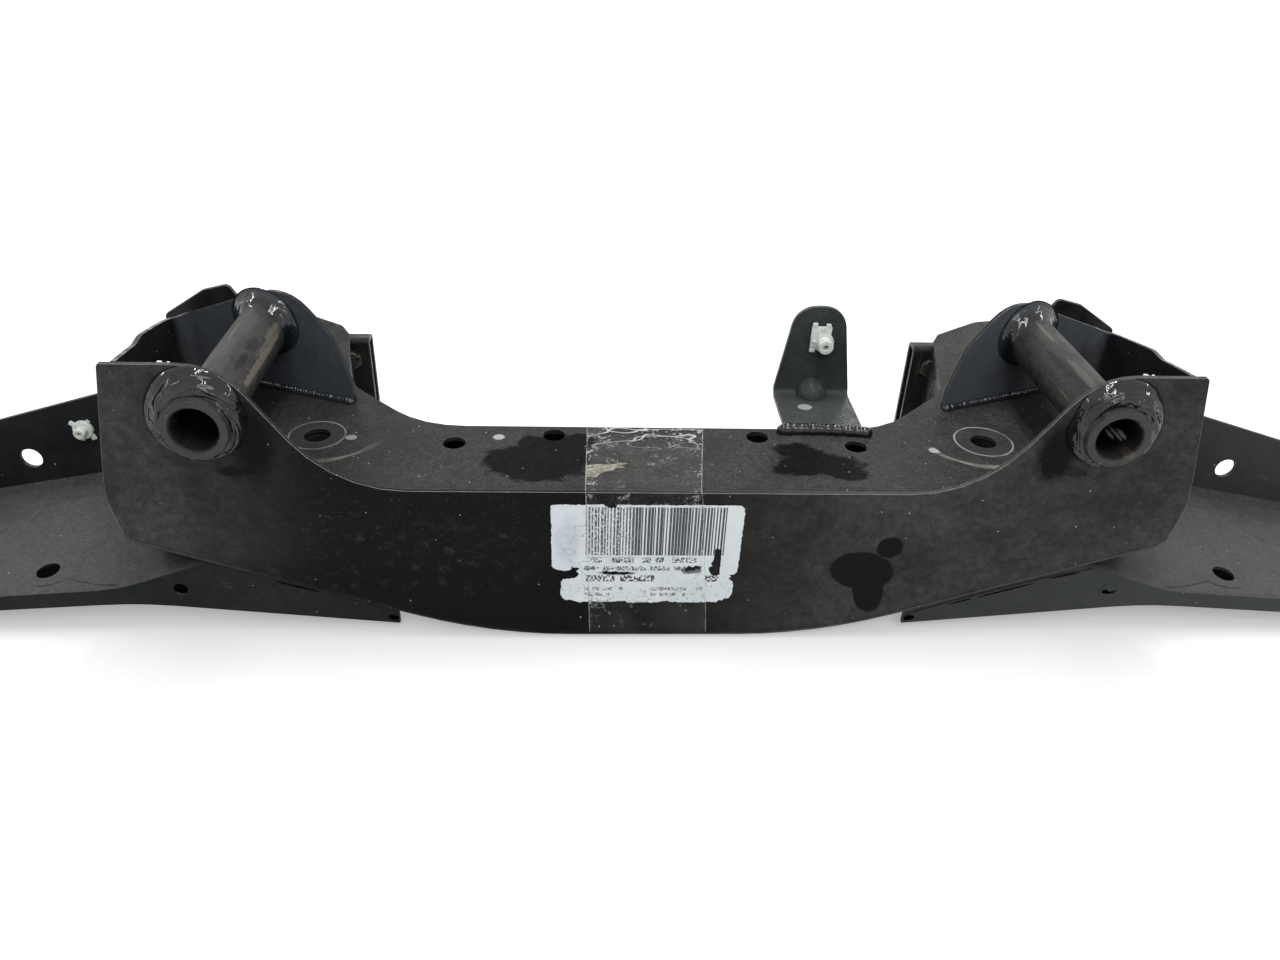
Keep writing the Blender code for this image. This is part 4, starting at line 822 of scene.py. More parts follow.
# %% Build the bead tree
def bead_tree():
    """Geometry Nodes: overlapping drops of weld along a curve."""
    tree = bpy.data.node_groups.new("weld_bead", "GeometryNodeTree")
    tree.is_modifier = True
    face = tree.interface
    face.new_socket("Seam", in_out="INPUT", socket_type="NodeSocketGeometry")
    face.new_socket("Bead", in_out="OUTPUT", socket_type="NodeSocketGeometry")
    for label, kind, value in (("Spacing", "NodeSocketFloat", 0.002), ("Width", "NodeSocketFloat", 0.007),
                               ("Height", "NodeSocketFloat", 0.003), ("Unevenness", "NodeSocketFloat", 0.2),
                               ("Seed", "NodeSocketInt", 1), ("Finish", "NodeSocketMaterial", None)):
        socket = face.new_socket(label, in_out="INPUT", socket_type=kind)
        if value is not None:
            socket.default_value = value
    add, link = tree.nodes.new, tree.links.new
    given, result = add("NodeGroupInput"), add("NodeGroupOutput")
    steps = add("GeometryNodeResampleCurve")
    steps.mode = "LENGTH"
    link(given.outputs["Seam"], steps.inputs["Curve"])
    link(given.outputs["Spacing"], steps.inputs["Length"])
    drop = add("GeometryNodeMeshIcoSphere")
    drop.inputs["Radius"].default_value = 0.5
    drop.inputs["Subdivisions"].default_value = 3
    smooth = add("GeometryNodeSetShadeSmooth")
    link(drop.outputs["Mesh"], smooth.inputs["Geometry"])
    along, up = add("GeometryNodeInputTangent"), add("GeometryNodeInputNormal")
    turn = add("FunctionNodeAxesToRotation")
    turn.primary_axis, turn.secondary_axis = "X", "Z"
    link(along.outputs[0], turn.inputs["Primary Axis"])
    link(up.outputs[0], turn.inputs["Secondary Axis"])
    size = add("ShaderNodeCombineXYZ")
    link(given.outputs["Width"], size.inputs["X"])
    link(given.outputs["Width"], size.inputs["Y"])
    double = add("ShaderNodeMath")
    double.operation = "MULTIPLY"
    double.inputs[1].default_value = 2.0
    link(given.outputs["Height"], double.inputs[0])
    link(double.outputs[0], size.inputs["Z"])
    low, high = add("ShaderNodeMath"), add("ShaderNodeMath")
    low.operation, high.operation = "SUBTRACT", "ADD"
    low.inputs[0].default_value = high.inputs[0].default_value = 1.0
    link(given.outputs["Unevenness"], low.inputs[1])
    link(given.outputs["Unevenness"], high.inputs[1])
    chance = add("FunctionNodeRandomValue")
    link(low.outputs[0], chance.inputs[2])
    link(high.outputs[0], chance.inputs[3])
    link(given.outputs["Seed"], chance.inputs["Seed"])
    uneven = add("ShaderNodeVectorMath")
    uneven.operation = "SCALE"
    link(size.outputs[0], uneven.inputs[0])
    link(chance.outputs[1], uneven.inputs["Scale"])
    scatter = add("GeometryNodeInstanceOnPoints")
    link(steps.outputs["Curve"], scatter.inputs["Points"])
    link(smooth.outputs["Geometry"], scatter.inputs["Instance"])
    link(turn.outputs[0], scatter.inputs["Rotation"])
    link(uneven.outputs[0], scatter.inputs["Scale"])
    real, finish = add("GeometryNodeRealizeInstances"), add("GeometryNodeSetMaterial")
    link(scatter.outputs["Instances"], real.inputs["Geometry"])
    link(real.outputs["Geometry"], finish.inputs["Geometry"])
    link(given.outputs["Finish"], finish.inputs["Material"])
    link(finish.outputs["Geometry"], result.inputs["Bead"])
    return tree


weld_bead = bead_tree()
print(len(weld_bead.nodes), "nodes in the bead tree")


# %% Lay a bead along a seam
def set_inputs(modifier, **values):
    """Sets a Geometry Nodes modifier's inputs by their labels."""
    for item in modifier.node_group.interface.items_tree:
        if item.item_type == "SOCKET" and item.in_out == "INPUT" and item.name in values:
            modifier[item.identifier] = values[item.name]


def curve_through(name, runs):
    """A poly curve with one spline for each run of places."""
    curve = bpy.data.curves.new(name, "CURVE")
    curve.dimensions = "3D"
    for run in runs:
        spline = curve.splines.new("POLY")
        spline.points.add(len(run) - 1)
        for point, place in zip(spline.points, run):
            point.co = (*place, 1)
    return curve


def lay_bead(name, runs, width, height, spacing, seed, finish=None, unevenness=0.18):
    """A piece of weld bead along runs of places."""
    line = bpy.data.objects.new(name, curve_through(name, runs))
    bpy.context.scene.collection.objects.link(line)
    grow = line.modifiers.new("bead", "NODES")
    grow.node_group = weld_bead
    set_inputs(grow, Spacing=spacing, Width=width, Height=height, Unevenness=unevenness, Seed=seed,
               Finish=finish or weld_finish)
    piece = new_piece(name, mesh_taken_from(line), finish or weld_finish)
    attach(piece, "root")
    return piece


def between(a, b, steps, bow=0.0):
    """Places on a straight run from a to b, bowed sideways in the middle."""
    a, b = Vector(a), Vector(b)
    side = Vector((0, 0, 1)).cross(b - a).normalized() * bow * 0.001
    return [a.lerp(b, i / steps) + side * sin(pi * i / steps) for i in range(steps + 1)]


for side, sign in (("left", -1), ("right", 1)):
    foot = between(mm(sign * 184, 97.6, 102.6), mm(sign * 290, 138.4, 102.6), 20)
    bead = lay_bead(f"{side}_dome_foot_bead", [foot], 0.006, 0.0026, 0.0019, 11 + sign)
    print(bead.name, len(bead.data.polygons), "faces")
boss_shape = bmesh.new()
bmesh.ops.create_uvsphere(boss_shape, u_segments=40, v_segments=24, radius=1.0)
for vert in boss_shape.verts:
    vert.co = mm(100 + 10.0 * vert.co.x, 112.2 + 11.3 * vert.co.y, 104.8 + 11.3 * vert.co.z)
boss_mesh = bpy.data.meshes.new("bracket_boss")
boss_shape.to_mesh(boss_mesh)
boss_shape.free()
boss_mesh.shade_smooth()
boss = new_piece("bracket_boss", boss_mesh, bracket_coat)
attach(boss, "root")
bracket_weld = lay_bead("cable_bracket_bead", [between(mm(76.2, 66.6, 103.0), mm(124, 64.2, 103.0), 24, 1.5)],
                        0.0095, 0.0034, 0.0021, 5)
print(bracket_weld.name, len(bracket_weld.data.polygons), "faces")

# %% [markdown]
# ## The torn sticker
#
# The paper sticker has lost bits of its edge, and pieces are torn out of it. Its outline is a closed line in
# millimetres with more lines as tears. Triangles fill the flat outline, those inside a tear are left out, and
# the rest gets a thickness. The edge is roughened by smooth noise in short steps. A transparency mask would be
# quicker, but a torn edge that is real geometry casts its own fine shadow.

# %% Cut thin sheets from outlines
# Without a seed, noise_vector starts somewhere else each time, and no two runs would tear alike.
noise.seed_set(4)


def ragged(points, step=0.8, rough=0.25, seed=0.0):
    """A closed outline cut into short, uneven steps."""
    line = []
    for (x0, y0), (x1, y1) in zip(points, points[1:] + points[:1]):
        count = max(1, round(hypot(x1 - x0, y1 - y0) / step))
        for i in range(count):
            x, y = x0 + (x1 - x0) * i / count, y0 + (y1 - y0) * i / count
            push = noise.noise_vector(Vector((x, y, seed)) * 0.8) * rough
            line.append((x + push.x, y + push.y))
    return line


def within(place, outline):
    """Whether a place lies inside an outline: a line from it crosses the outline an odd number of times."""
    crossings = 0
    for (x0, y0), (x1, y1) in zip(outline, outline[1:] + outline[:1]):
        if (y0 > place.y) != (y1 > place.y):
            crossings += place.x < x0 + (place.y - y0) * (x1 - x0) / (y1 - y0)
    return crossings % 2 == 1


SAME_POINT = 0.00001


def cut_sheet(name, outlines, thickness, place):
    """A thin closed sheet from outlines in millimetres; place gives (x, y, z) for (across, up, depth)."""
    points, edges = [], []
    for outline in outlines:
        first, count = len(points), len(outline)
        points += [Vector(point) for point in outline]
        edges += [(first + i, first + (i + 1) % count) for i in range(count)]
    flat, _, triangles = delaunay_2d_cdt(points, edges, [], 0, SAME_POINT)[:3]
    triangles = [tri for tri in triangles if sum(within(sum((flat[i] for i in tri), Vector((0, 0))) / 3, outline)
                                                 for outline in outlines) == 1]
    count = len(flat)
    sides = {(tri[i], tri[(i + 1) % 3]) for tri in triangles for i in range(3)}
    faces = [tuple(reversed(tri)) for tri in triangles] + [tuple(i + count for i in tri) for tri in triangles]
    faces += [(a, b, b + count, a + count) for a, b in sides if (b, a) not in sides]
    mesh = bpy.data.meshes.new(name)
    mesh.from_pydata([mm(*place(point.x, point.y, layer * thickness / 2)) for layer in (-1, 1) for point in flat],
                     [], faces)
    shape = bmesh.new()
    shape.from_mesh(mesh)
    bmesh.ops.delete(shape, geom=[vert for vert in shape.verts if not vert.link_faces], context="VERTS")
    bmesh.ops.recalc_face_normals(shape, faces=shape.faces)
    shape.to_mesh(mesh)
    shape.free()
    return mesh


# %% Print and cut the sticker
LABEL_LEFT, LABEL_TOP, LABEL_WIDE, LABEL_HIGH = -59.6, 94.5, 105.0, 67.5
LABEL_FACE = -0.45
LABEL_EDGE = ((0, .03), (.008, .008), (.03, 0), (.275, 0), (.285, .022), (.3, .03), (.33, .026), (.34, 0), (.97, 0),
              (.99, .008), (1, .03), (.998, .3), (.992, .66), (.978, .69), (.95, .70), (.962, .72), (.948, .74),
              (.97, .76), (.978, .8), (.974, .9), (.965, .94), (.94, .945), (.93, .97), (.905, .965), (.895, .99),
              (.86, .985), (.70, .99), (.62, .975), (.56, .99), (.41, .995), (.395, .975), (.3, .985), (.17, .98),
              (.15, .995), (.12, .97), (.07, .965), (.055, .94), (.045, .9), (.05, .78), (.06, .745), (.1, .74),
              (.135, .725), (.145, .69), (.13, .66), (.15, .64), (.14, .625), (.1, .61), (.105, .64), (.08, .66),
              (.05, .65), (.02, .64), (.003, .61))
LABEL_TEARS = (((.862, .44), (.872, .425), (.896, .43), (.90, .6), (.896, .69), (.88, .71), (.86, .70), (.842, .67),
                (.838, .62), (.856, .60), (.844, .575), (.862, .54)),
               ((.71, .63), (.73, .60), (.745, .615), (.77, .60), (.80, .61), (.795, .64), (.77, .635), (.76, .66),
                (.735, .65), (.715, .67)),
               ((.26, .665), (.29, .655), (.31, .67), (.34, .66), (.37, .672), (.41, .665), (.425, .68),
                (.38, .695), (.35, .685), (.33, .705), (.30, .69), (.28, .695)))
LABEL_LINES = ((0.545, 0.055, 0.22, 0.77, 2.4, 1.0), (0.63, 0.045, 0.17, 0.72, 2.2, 0.9),
               (0.735, 0.065, 0.17, 0.56, 3.2, 1.0), (0.735, 0.065, 0.74, 0.90, 3.2, 1.0),
               (0.845, 0.036, 0.17, 0.38, 1.9, 0.85), (0.845, 0.036, 0.53, 0.84, 1.9, 0.85),
               (0.905, 0.036, 0.17, 0.31, 1.9, 0.85), (0.905, 0.036, 0.53, 0.72, 1.9, 0.85))


def label_paper():
    """Off-white paper with plain bars, broken dashes that spell nothing, scuffs and creases."""
    coat = Finish("sticker_paper", roughness=0.5, specular=0.3)
    u, _, w = coat.axes(coat.at(mm(LABEL_LEFT, 0, LABEL_TOP), (LABEL_WIDE * 0.001, 1, -LABEL_HIGH * 0.001)))
    cloud = coat.band(coat.clouds(0.018, 5.0, 0.65), 0.35, 0.7)
    colour = coat.mix(cloud, (0.72, 0.775, 0.81), (0.81, 0.84, 0.85))
    patch = coat.maths("MAXIMUM", coat.spot(mm(-49, 0, 70), (0.007, 0.01, 0.014), 0.4, 1.1, 0.012),
                       coat.spot(mm(-21.5, 0, 58.5), (0.0095, 0.01, 0.0035), 0.3, 1.0, 0.006))
    patch = coat.maths("MULTIPLY", patch, coat.band(coat.clouds(0.003, 5.0, 0.7), 0.4, 0.6, 0.3, 0.6))
    colour = coat.mix(patch, colour, (0.46, 0.50, 0.58))
    bar_place = coat.maths("MULTIPLY", u, 62.0)
    bar_width = coat.band(coat.chance(coat.maths("FLOOR", bar_place), 3.0, 0.0), 0, 1, 0.42, 0.92)
    bars = coat.maths("LESS_THAN", coat.maths("FRACT", bar_place), bar_width)
    bars = coat.maths("MULTIPLY", coat.maths("MULTIPLY", bars, coat.inside(u, 0.18, 0.91)),
                      coat.inside(w, 0.02, 0.495))
    flaking = coat.maths("ADD", coat.clouds(0.0011, 3.0, 0.6), coat.band(u, 0.3, 0.55, -0.07, 0.08))
    ink = coat.maths("MULTIPLY", bars, coat.band(flaking, 0.33, 0.40))
    for height, tall, start, end, letter, strength in LABEL_LINES:
        column = coat.maths("FLOOR", coat.maths("MULTIPLY", u, LABEL_WIDE / letter))
        fine_column = coat.maths("FLOOR", coat.maths("MULTIPLY", u, LABEL_WIDE / (0.3 * letter)))
        fine_row = coat.maths("FLOOR", coat.maths("MULTIPLY", w, 4 / tall))
        dash = coat.maths("GREATER_THAN", coat.chance(fine_column, fine_row, height), 0.5)
        dash = coat.maths("MULTIPLY", dash, coat.maths("GREATER_THAN", coat.chance(column, height, 7.0), 0.2))
        dash = coat.maths("MULTIPLY", dash, coat.inside(w, height - tall / 2, height + tall / 2))
        dash = coat.maths("MULTIPLY", coat.maths("MULTIPLY", dash, coat.inside(u, start, end)), strength)
        ink = coat.maths("MAXIMUM", ink, dash)
    colour = coat.mix(coat.maths("MULTIPLY", ink, 0.93), colour, (0.012, 0.014, 0.02))
    crease = coat.band(coat.maths("ABSOLUTE", coat.maths("SUBTRACT", coat.clouds(0.03, 3.0, 0.6), 0.5)),
                       0.006, 0.001)
    crease = coat.maths("MULTIPLY", crease, coat.band(coat.clouds(0.02, 2.0, shift=(0.2, 0, 0)), 0.48, 0.56))
    colour = coat.mix(coat.maths("MULTIPLY", crease, 0.6), colour, (0.2, 0.21, 0.22))
    rim = coat.band(coat.clouds(0.0016, 4.0, 0.7), 0.60, 0.66)
    colour = coat.mix(coat.maths("MULTIPLY", rim, coat.band(w, 0.52, 0.98, 0.1, 0.9)), colour, (0.12, 0.12, 0.11))
    smudge = coat.maths("MAXIMUM", coat.spot(mm(18.5, 0, 50.5), (0.006, 0.01, 0.0022), 0.3, 1.0, 0.003),
                        coat.spot(mm(-22, 0, 48.6), (0.010, 0.01, 0.0012), 0.3, 1.0, 0.003))
    smudge = coat.maths("MAXIMUM", smudge, coat.spot(mm(-55, 0, 49), (0.005, 0.01, 0.0014), 0.3, 1.2, 0.003))
    colour = coat.mix(coat.maths("MULTIPLY", smudge, 0.85), colour, (0.03, 0.03, 0.035))
    coat.set(Base_Color=colour, Roughness=coat.band(cloud, 0, 1, 0.4, 0.6))
    coat.relief(coat.clouds(0.012, 4.0, 0.6), 0.3, 0.0006)
    return coat.material


def on_label(points):
    return [(LABEL_LEFT + u * LABEL_WIDE, LABEL_TOP - w * LABEL_HIGH) for u, w in points]


sticker_mesh = cut_sheet("sticker", [ragged(on_label(LABEL_EDGE), 0.6, 0.6)]
                         + [ragged(on_label(tear), 0.5, 0.5, 4.0) for tear in LABEL_TEARS], 0.24,
                         lambda across, rise, depth: (across, LABEL_FACE - depth, rise))
sticker = new_piece("torn_sticker", sticker_mesh, label_paper())
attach(sticker, "root")
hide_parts("label")
one_side = sum(face.area for face in sticker_mesh.polygons) / 2
print("sticker with", len(LABEL_TEARS), "tears,", round(one_side * 1e6), "mm2")

# %% [markdown]
# ## Clear tape over the edge
#
# A strip of clear tape was laid from the rear edge over the front fold and down past the sticker. It is a
# ribbon that follows a line of (y, z) places a fraction of a millimetre above the metal, closed all round and
# puckered where it is creased. Real glass would send light through by refraction, which is slow for a film
# this thin. A low Alpha does the same here: the film shows only by its borders, creases and haze.

# %% Lay the tape
TAPE_LINE = ((69.5, 102.7, -40.5, 28.3), (50, 102.75, -40.7, 26.4), (28, 102.75, -41, 24), (6, 102.75, -41.2, 21.8),
             (1.2, 102.8, -41.3, 21.4), (-0.7, 102.2, -41.2, 21.5), (-1.1, 100.5, -41, 21.8),
             (-1.15, 90, -40.6, 23), (-1.15, 55, -39.6, 26), (-1.0, 20, -38.7, 29), (-0.9, 8, -38.4, 29.8),
             (-0.5, 5.2, -38.4, 29.9))
TAPE_ACROSS, TAPE_THICK = 48, 0.10


def tape_mesh():
    """A closed ribbon with a UV map that counts across and along it."""
    stations, run = [], 0.0
    for (y0, z0, l0, r0), (y1, z1, l1, r1) in zip(TAPE_LINE, TAPE_LINE[1:]):
        length = hypot(y1 - y0, z1 - z0)
        count = max(1, round(length / 1.6))
        for i in range(count):
            s = i / count
            stations.append((y0 + (y1 - y0) * s, z0 + (z1 - z0) * s, l0 + (l1 - l0) * s, r0 + (r1 - r0) * s,
                             Vector((0, z1 - z0, y0 - y1)).normalized(), run + length * s))
        run += length
    stations.append((*TAPE_LINE[-1], stations[-1][4], run))
    rows = []
    for layer in (0, 1):
        for y, z, left_x, right_x, out, along in stations:
            for i in range(TAPE_ACROSS + 1):
                x = left_x + (right_x - left_x) * i / TAPE_ACROSS
                spot = Vector((x, along, 0.0))
                pucker = abs(noise.noise(spot * 0.07)) * 0.5 + abs(noise.noise(spot * 0.23)) * 0.22
                lift = 0.32 * max(0.0, 1 - along / 24) + 0.10
                height = lift * pucker + TAPE_THICK * layer
                rows.append(mm(x, y + out.y * height, z + out.z * height))
    wide, count = TAPE_ACROSS + 1, len(stations)
    faces, sheet = [], wide * count
    for j in range(count - 1):
        for i in range(TAPE_ACROSS):
            a, b = j * wide + i, (j + 1) * wide + i
            faces += [(a, a + 1, b + 1, b), (sheet + a, sheet + b, sheet + b + 1, sheet + a + 1)]
    rim = [(0, i) for i in range(wide)] + [(j, wide - 1) for j in range(1, count)]
    rim += [(count - 1, i) for i in range(wide - 2, -1, -1)] + [(j, 0) for j in range(count - 2, 0, -1)]
    for (j0, i0), (j1, i1) in zip(rim, rim[1:] + rim[:1]):
        a, b = j0 * wide + i0, j1 * wide + i1
        faces.append((a, sheet + a, sheet + b, b))
    mesh = bpy.data.meshes.new("clear_tape")
    mesh.from_pydata(rows, [], faces)
    layer = mesh.uv_layers.new(name="tape")
    for loop in mesh.loops:
        j, i = divmod(loop.vertex_index % sheet, wide)
        layer.data[loop.index].uv = (i / TAPE_ACROSS, stations[j][5] / run)
    shape = bmesh.new()
    shape.from_mesh(mesh)
    bmesh.ops.recalc_face_normals(shape, faces=shape.faces)
    shape.to_mesh(mesh)
    shape.free()
    mesh.shade_smooth()
    return mesh


def clear_film():
    """Film seen only by its borders, creases, haze and the dust stuck to it."""
    film = Finish("clear_film", roughness=0.16, specular=0.4)
    across, along, _ = film.axes(film.add("ShaderNodeUVMap", {"uv_map": "tape"}).outputs[0])
    off = film.maths("ABSOLUTE", film.maths("SUBTRACT", across, 0.5))
    border = film.maths("MULTIPLY", film.band(off, 0.491, 0.495),
                        film.maths("MULTIPLY", film.band(film.clouds(0.01, 3.0), 0.3, 0.6, 0.1, 0.5),
                                   film.band(along, 0.45, 0.6, 1.0, 0.55)))
    near_rear = film.band(along, 0.18, 0.02, 0.0, 1.0)
    fold = film.maths("ABSOLUTE", film.maths("SUBTRACT", film.clouds(0.03, 2.0, 0.5, stretch=(2.2, 1, 1)), 0.5))
    other = film.maths("ABSOLUTE", film.maths("SUBTRACT", film.clouds(0.02, 2.0, 0.5, stretch=(2.6, 1, 1),
                                                                      shift=(0.7, 0.1, 0)), 0.48))
    fold = film.maths("MULTIPLY", film.band(film.maths("MINIMUM", fold, other), 0.009, 0.002), near_rear)
    bubble = film.maths("MULTIPLY", film.band(film.clouds(0.0022, 3.0, 0.6), 0.56, 0.62),
                        film.band(film.clouds(0.012, 2.0, shift=(0.5, 0, 0)), 0.5, 0.6))
    edges = film.maths("MAXIMUM", film.band(across, 0.14, 0.02), film.maths("MULTIPLY", near_rear, 0.8))
    bubble = film.maths("MULTIPLY", bubble, film.maths("MAXIMUM", edges, film.band(across, 0.8, 0.95, 0, 0.5)))
    nick = film.maths("ABSOLUTE", film.maths("SUBTRACT", film.clouds(0.012, 4.0, 0.7, shift=(0.4, 0, 0)), 0.5))
    nick = film.maths("MULTIPLY", film.band(nick, 0.008, 0.002),
                      film.band(film.clouds(0.014, 2.0, shift=(0.2, 0.3, 0)), 0.56, 0.64))
    dust = film.flecks(0.0042, 0.00045, 0.4)
    haze = film.band(film.clouds(0.02, 4.0), 0.3, 0.7, 0.002, 0.022)
    marks = film.maths("MAXIMUM", film.maths("MULTIPLY", fold, 0.75), film.maths("MULTIPLY", nick, 0.5))
    marks = film.maths("MAXIMUM", marks, film.maths("MAXIMUM", border, film.maths("MULTIPLY", dust, 0.7)))
    marks = film.maths("MAXIMUM", marks, film.maths("MULTIPLY", bubble, 0.55))
    warm = film.band(along, 0.04, 0.0, 0.0, 0.3)
    film.set(Base_Color=film.mix(warm, (0.62, 0.63, 0.6), (0.55, 0.47, 0.36)),
             Alpha=film.maths("MAXIMUM", haze, marks))
    return film.material


tape = new_piece("clear_tape", tape_mesh(), clear_film())
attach(tape, "root")
scrap_edge = [(-40.6, 27.5), (-33, 28.8), (-27, 28.6), (-20.5, 30.4), (-17.8, 29.4), (-23, 26.8), (-19, 25.6),
              (-24.5, 24.2), (-27, 21.6), (-31, 20.5), (-34, 17.2), (-36, 14.8), (-38.5, 15.6), (-41, 14)]
scrap_mesh = cut_sheet("scrap", [ragged(scrap_edge, 0.6, 0.5)], 0.12,
                       lambda across, rise, depth: (across, rise, 102.25 + depth))
scrap_finish = Finish("tan_paper", roughness=0.7, specular=0.1)
scrap_finish.set(Base_Color=scrap_finish.mix(scrap_finish.band(scrap_finish.clouds(0.003, 5.0, 0.7), 0.35, 0.65),
                                             (0.15, 0.135, 0.11), (0.34, 0.31, 0.26)))
scrap_finish.relief(scrap_finish.clouds(0.002, 3.0), 0.3, 0.0003)
scrap = new_piece("paper_scrap", scrap_mesh, scrap_finish.material)
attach(scrap, "root")
print("tape of", len(tape.data.polygons), "faces")

# %% [markdown]
# ## Plastic clips
#
# Small ivory clips hold the wiring. Each is a few rounded blocks round a short barrel with a hole. Rounded
# blocks set into each other read as one moulding, and need no boolean step.

# %% Rounded blocks and barrels
def block(shape, centre, size, radius=0.5, turn=0.0):
    """Adds a rounded block to a bmesh, in millimetres, turned about y."""
    made = bmesh.ops.create_cube(shape, size=1.0)["verts"]
    edges = {edge for vert in made for edge in vert.link_edges}
    for vert in made:
        vert.co = Vector((vert.co.x * size[0], vert.co.y * size[1], vert.co.z * size[2]))
    rounded = bmesh.ops.bevel(shape, geom=list(edges), offset=min(radius, 0.42 * min(size)), segments=2,
                              profile=0.5, affect="EDGES", clamp_overlap=True)["verts"]
    for vert in {*rounded, *(vert for vert in made if vert.is_valid)}:
        place = Matrix.Rotation(turn, 3, "Y") @ vert.co
        vert.co = mm(centre[0] + place.x, centre[1] + place.y, centre[2] + place.z)


def clip_piece(name, node, face_y, x, z, blocks, barrel, reach, finish):
    """A clip of blocks given as (x, z, wide, high, thick, turn) from the clip's middle, and one barrel."""
    shape = bmesh.new()
    for dx, dz, wide, high, thick, turn in blocks:
        block(shape, (x + dx, face_y - 0.35 - thick / 2, z + dz), (wide, thick, high), 0.5, radians(turn))
    mesh = bpy.data.meshes.new(name)
    shape.to_mesh(mesh)
    shape.free()
    bx, bz, flange, radius, hole = barrel
    section = [(hole, -reach + 0.4), (hole + 0.4, -reach), (radius - 0.5, -reach), (radius, -reach + 0.5),
               (radius, -3.0), (flange - 0.4, -2.8), (flange, -2.4), (flange, -0.4), (hole, -0.4)]
    ring = turned(name, (x + bx, z + bz), [(r, face_y + y) for r, y in section], 32)
    shape = bmesh.new()
    shape.from_mesh(mesh)
    shape.from_mesh(ring)
    shape.to_mesh(mesh)
    shape.free()
    bpy.data.meshes.remove(ring)
    mesh.shade_smooth()
    mesh.set_sharp_from_angle(angle=radians(38))
    piece = new_piece(name, mesh, finish)
    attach(piece, "root")
    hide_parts(node)


def ivory():
    """Aged nylon: warm white, with patches of grime."""
    coat = Finish("ivory_nylon", roughness=0.4, specular=0.4)
    grime = coat.band(coat.clouds(0.004, 5.0, 0.7), 0.48, 0.7)
    colour = coat.mix(coat.maths("MULTIPLY", grime, 0.5), (0.82, 0.82, 0.75), (0.34, 0.32, 0.26))
    coat.set(Base_Color=colour, Roughness=coat.band(grime, 0, 1, 0.35, 0.6), Subsurface_Weight=0.1)
    coat.relief(coat.clouds(0.0015, 2.0), 0.15, 0.0002)
    return coat.material


ivory_coat = ivory()
clip_piece("cable_clip_shape", "cable_clip", 112.0, 102.0, 143.0,
           ((-0.6, 1.2, 12.4, 13.6, 2.2, 0), (-4.9, 8.6, 3.2, 3.4, 2.2, 0), (3.4, 8.4, 3.0, 2.8, 2.2, 0),
            (-5.0, -7.4, 3.6, 2.8, 2.0, 0), (-2.6, 2.6, 1.2, 9.0, 3.4, 0), (-3.2, -1.6, 5.0, 1.3, 3.2, 8)),
           (1.6, -2.4, 6.2, 4.6, 1.6), 9.6, ivory_coat)
clip_piece("wing_clip_shape", "wing_clip", 125.0, -361.0, 66.6,
           ((-5.8, 3.8, 4.6, 3.2, 1.4, 35), (4.8, -5.4, 3.6, 4.2, 1.3, -20), (-2.6, -6.6, 4.4, 2.8, 1.4, 12),
            (3.6, 5.4, 3.0, 2.6, 1.2, -40)),
           (0.0, 0.0, 6.3, 3.7, 1.3), 8.2, ivory_coat)


def rounded_copy(name, node, finish, radius):
    """A CAD node with softened edges."""
    piece = new_piece(name, merged_copy(node), finish)
    soft = piece.modifiers.new("soft_edge", "BEVEL")
    soft.width, soft.segments, soft.limit_method, soft.angle_limit = radius, 2, "ANGLE", radians(32)
    applied(piece)
    piece.data.shade_smooth()
    piece.data.set_sharp_from_angle(angle=radians(38))
    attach(piece, "root")
    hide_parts(node)


def plated():
    """Zinc plate gone dull, with grime and a little rust."""
    coat = Finish("dull_zinc", metallic=1.0)
    grime = coat.band(coat.clouds(0.003, 5.0, 0.7), 0.4, 0.66)
    colour = coat.mix(grime, (0.11, 0.108, 0.10), (0.02, 0.018, 0.015))
    colour = coat.mix(coat.maths("MULTIPLY", coat.band(coat.clouds(0.004, 4.0, shift=(1, 0, 0)), 0.58, 0.7), 0.6),
                      colour, (0.14, 0.06, 0.03))
    coat.set(Base_Color=colour, Roughness=coat.band(grime, 0, 1, 0.28, 0.65),
             Metallic=coat.band(grime, 0, 1, 1.0, 0.2))
    coat.relief(coat.clouds(0.001, 3.0), 0.2, 0.0002)
    return coat.material


zinc = plated()
for side in ("left", "right"):
    rounded_copy(f"{side}_link_bolt_shape", f"{side}_link_bolt", zinc, 0.0003)
    rounded_copy(f"{side}_weld_nut_shape", f"{side}_weld_nut", inside_coat, 0.0004)
for side, sign in (("left", -1), ("right", 1)):
    low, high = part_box(f"{side}_edge_clip")
    middle, base, top = (low.x + high.x) * 500, low.z * 1000, high.z * 1000 - 1.3
    shape = bmesh.new()
    for dx, wide, short, turn in ((-1.9, 2.4, 0.0, 6), (0.6, 1.6, 0.9, -4), (2.4, 1.4, 0.4, 3)):
        block(shape, (middle + dx, (low.y + high.y) * 500 + 114, (base + top - short) / 2),
              (wide, 1.8, top - short - base), 0.4, radians(turn))
    clip_mesh = bpy.data.meshes.new(f"{side}_edge_clip_shape")
    shape.to_mesh(clip_mesh)
    shape.free()
    clip = new_piece(f"{side}_edge_clip_shape", clip_mesh, ivory_coat)
    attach(clip, "root")
    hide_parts(f"{side}_edge_clip")
print("clips, bolts and nuts are dressed")

# %% [markdown]
# ## Pressed ridges, laps and slots of the wings
#
# A shallow ridge was pressed along the front of each wing's tray. A thin tube laid along it, sunk by most of
# its width, gives the same rounded line. Its height over the tray is found by casting a ray down onto the CAD
# wing, so the line needs only x and y. Below the front plate the wing's tongue laps the box, with a rounded
# end. A second sheet closes the wing from below; its small holes are backed by thin near-black discs, and the
# slots along the laps are thin near-black ovals, both painted shade.

# %% Ridges on the wings
def surface_of(node):
    """A node's faces, ready for rays."""
    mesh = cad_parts[node].data
    return BVHTree.FromPolygons([vert.co for vert in mesh.vertices],
                                [list(face.vertices) for face in mesh.polygons])


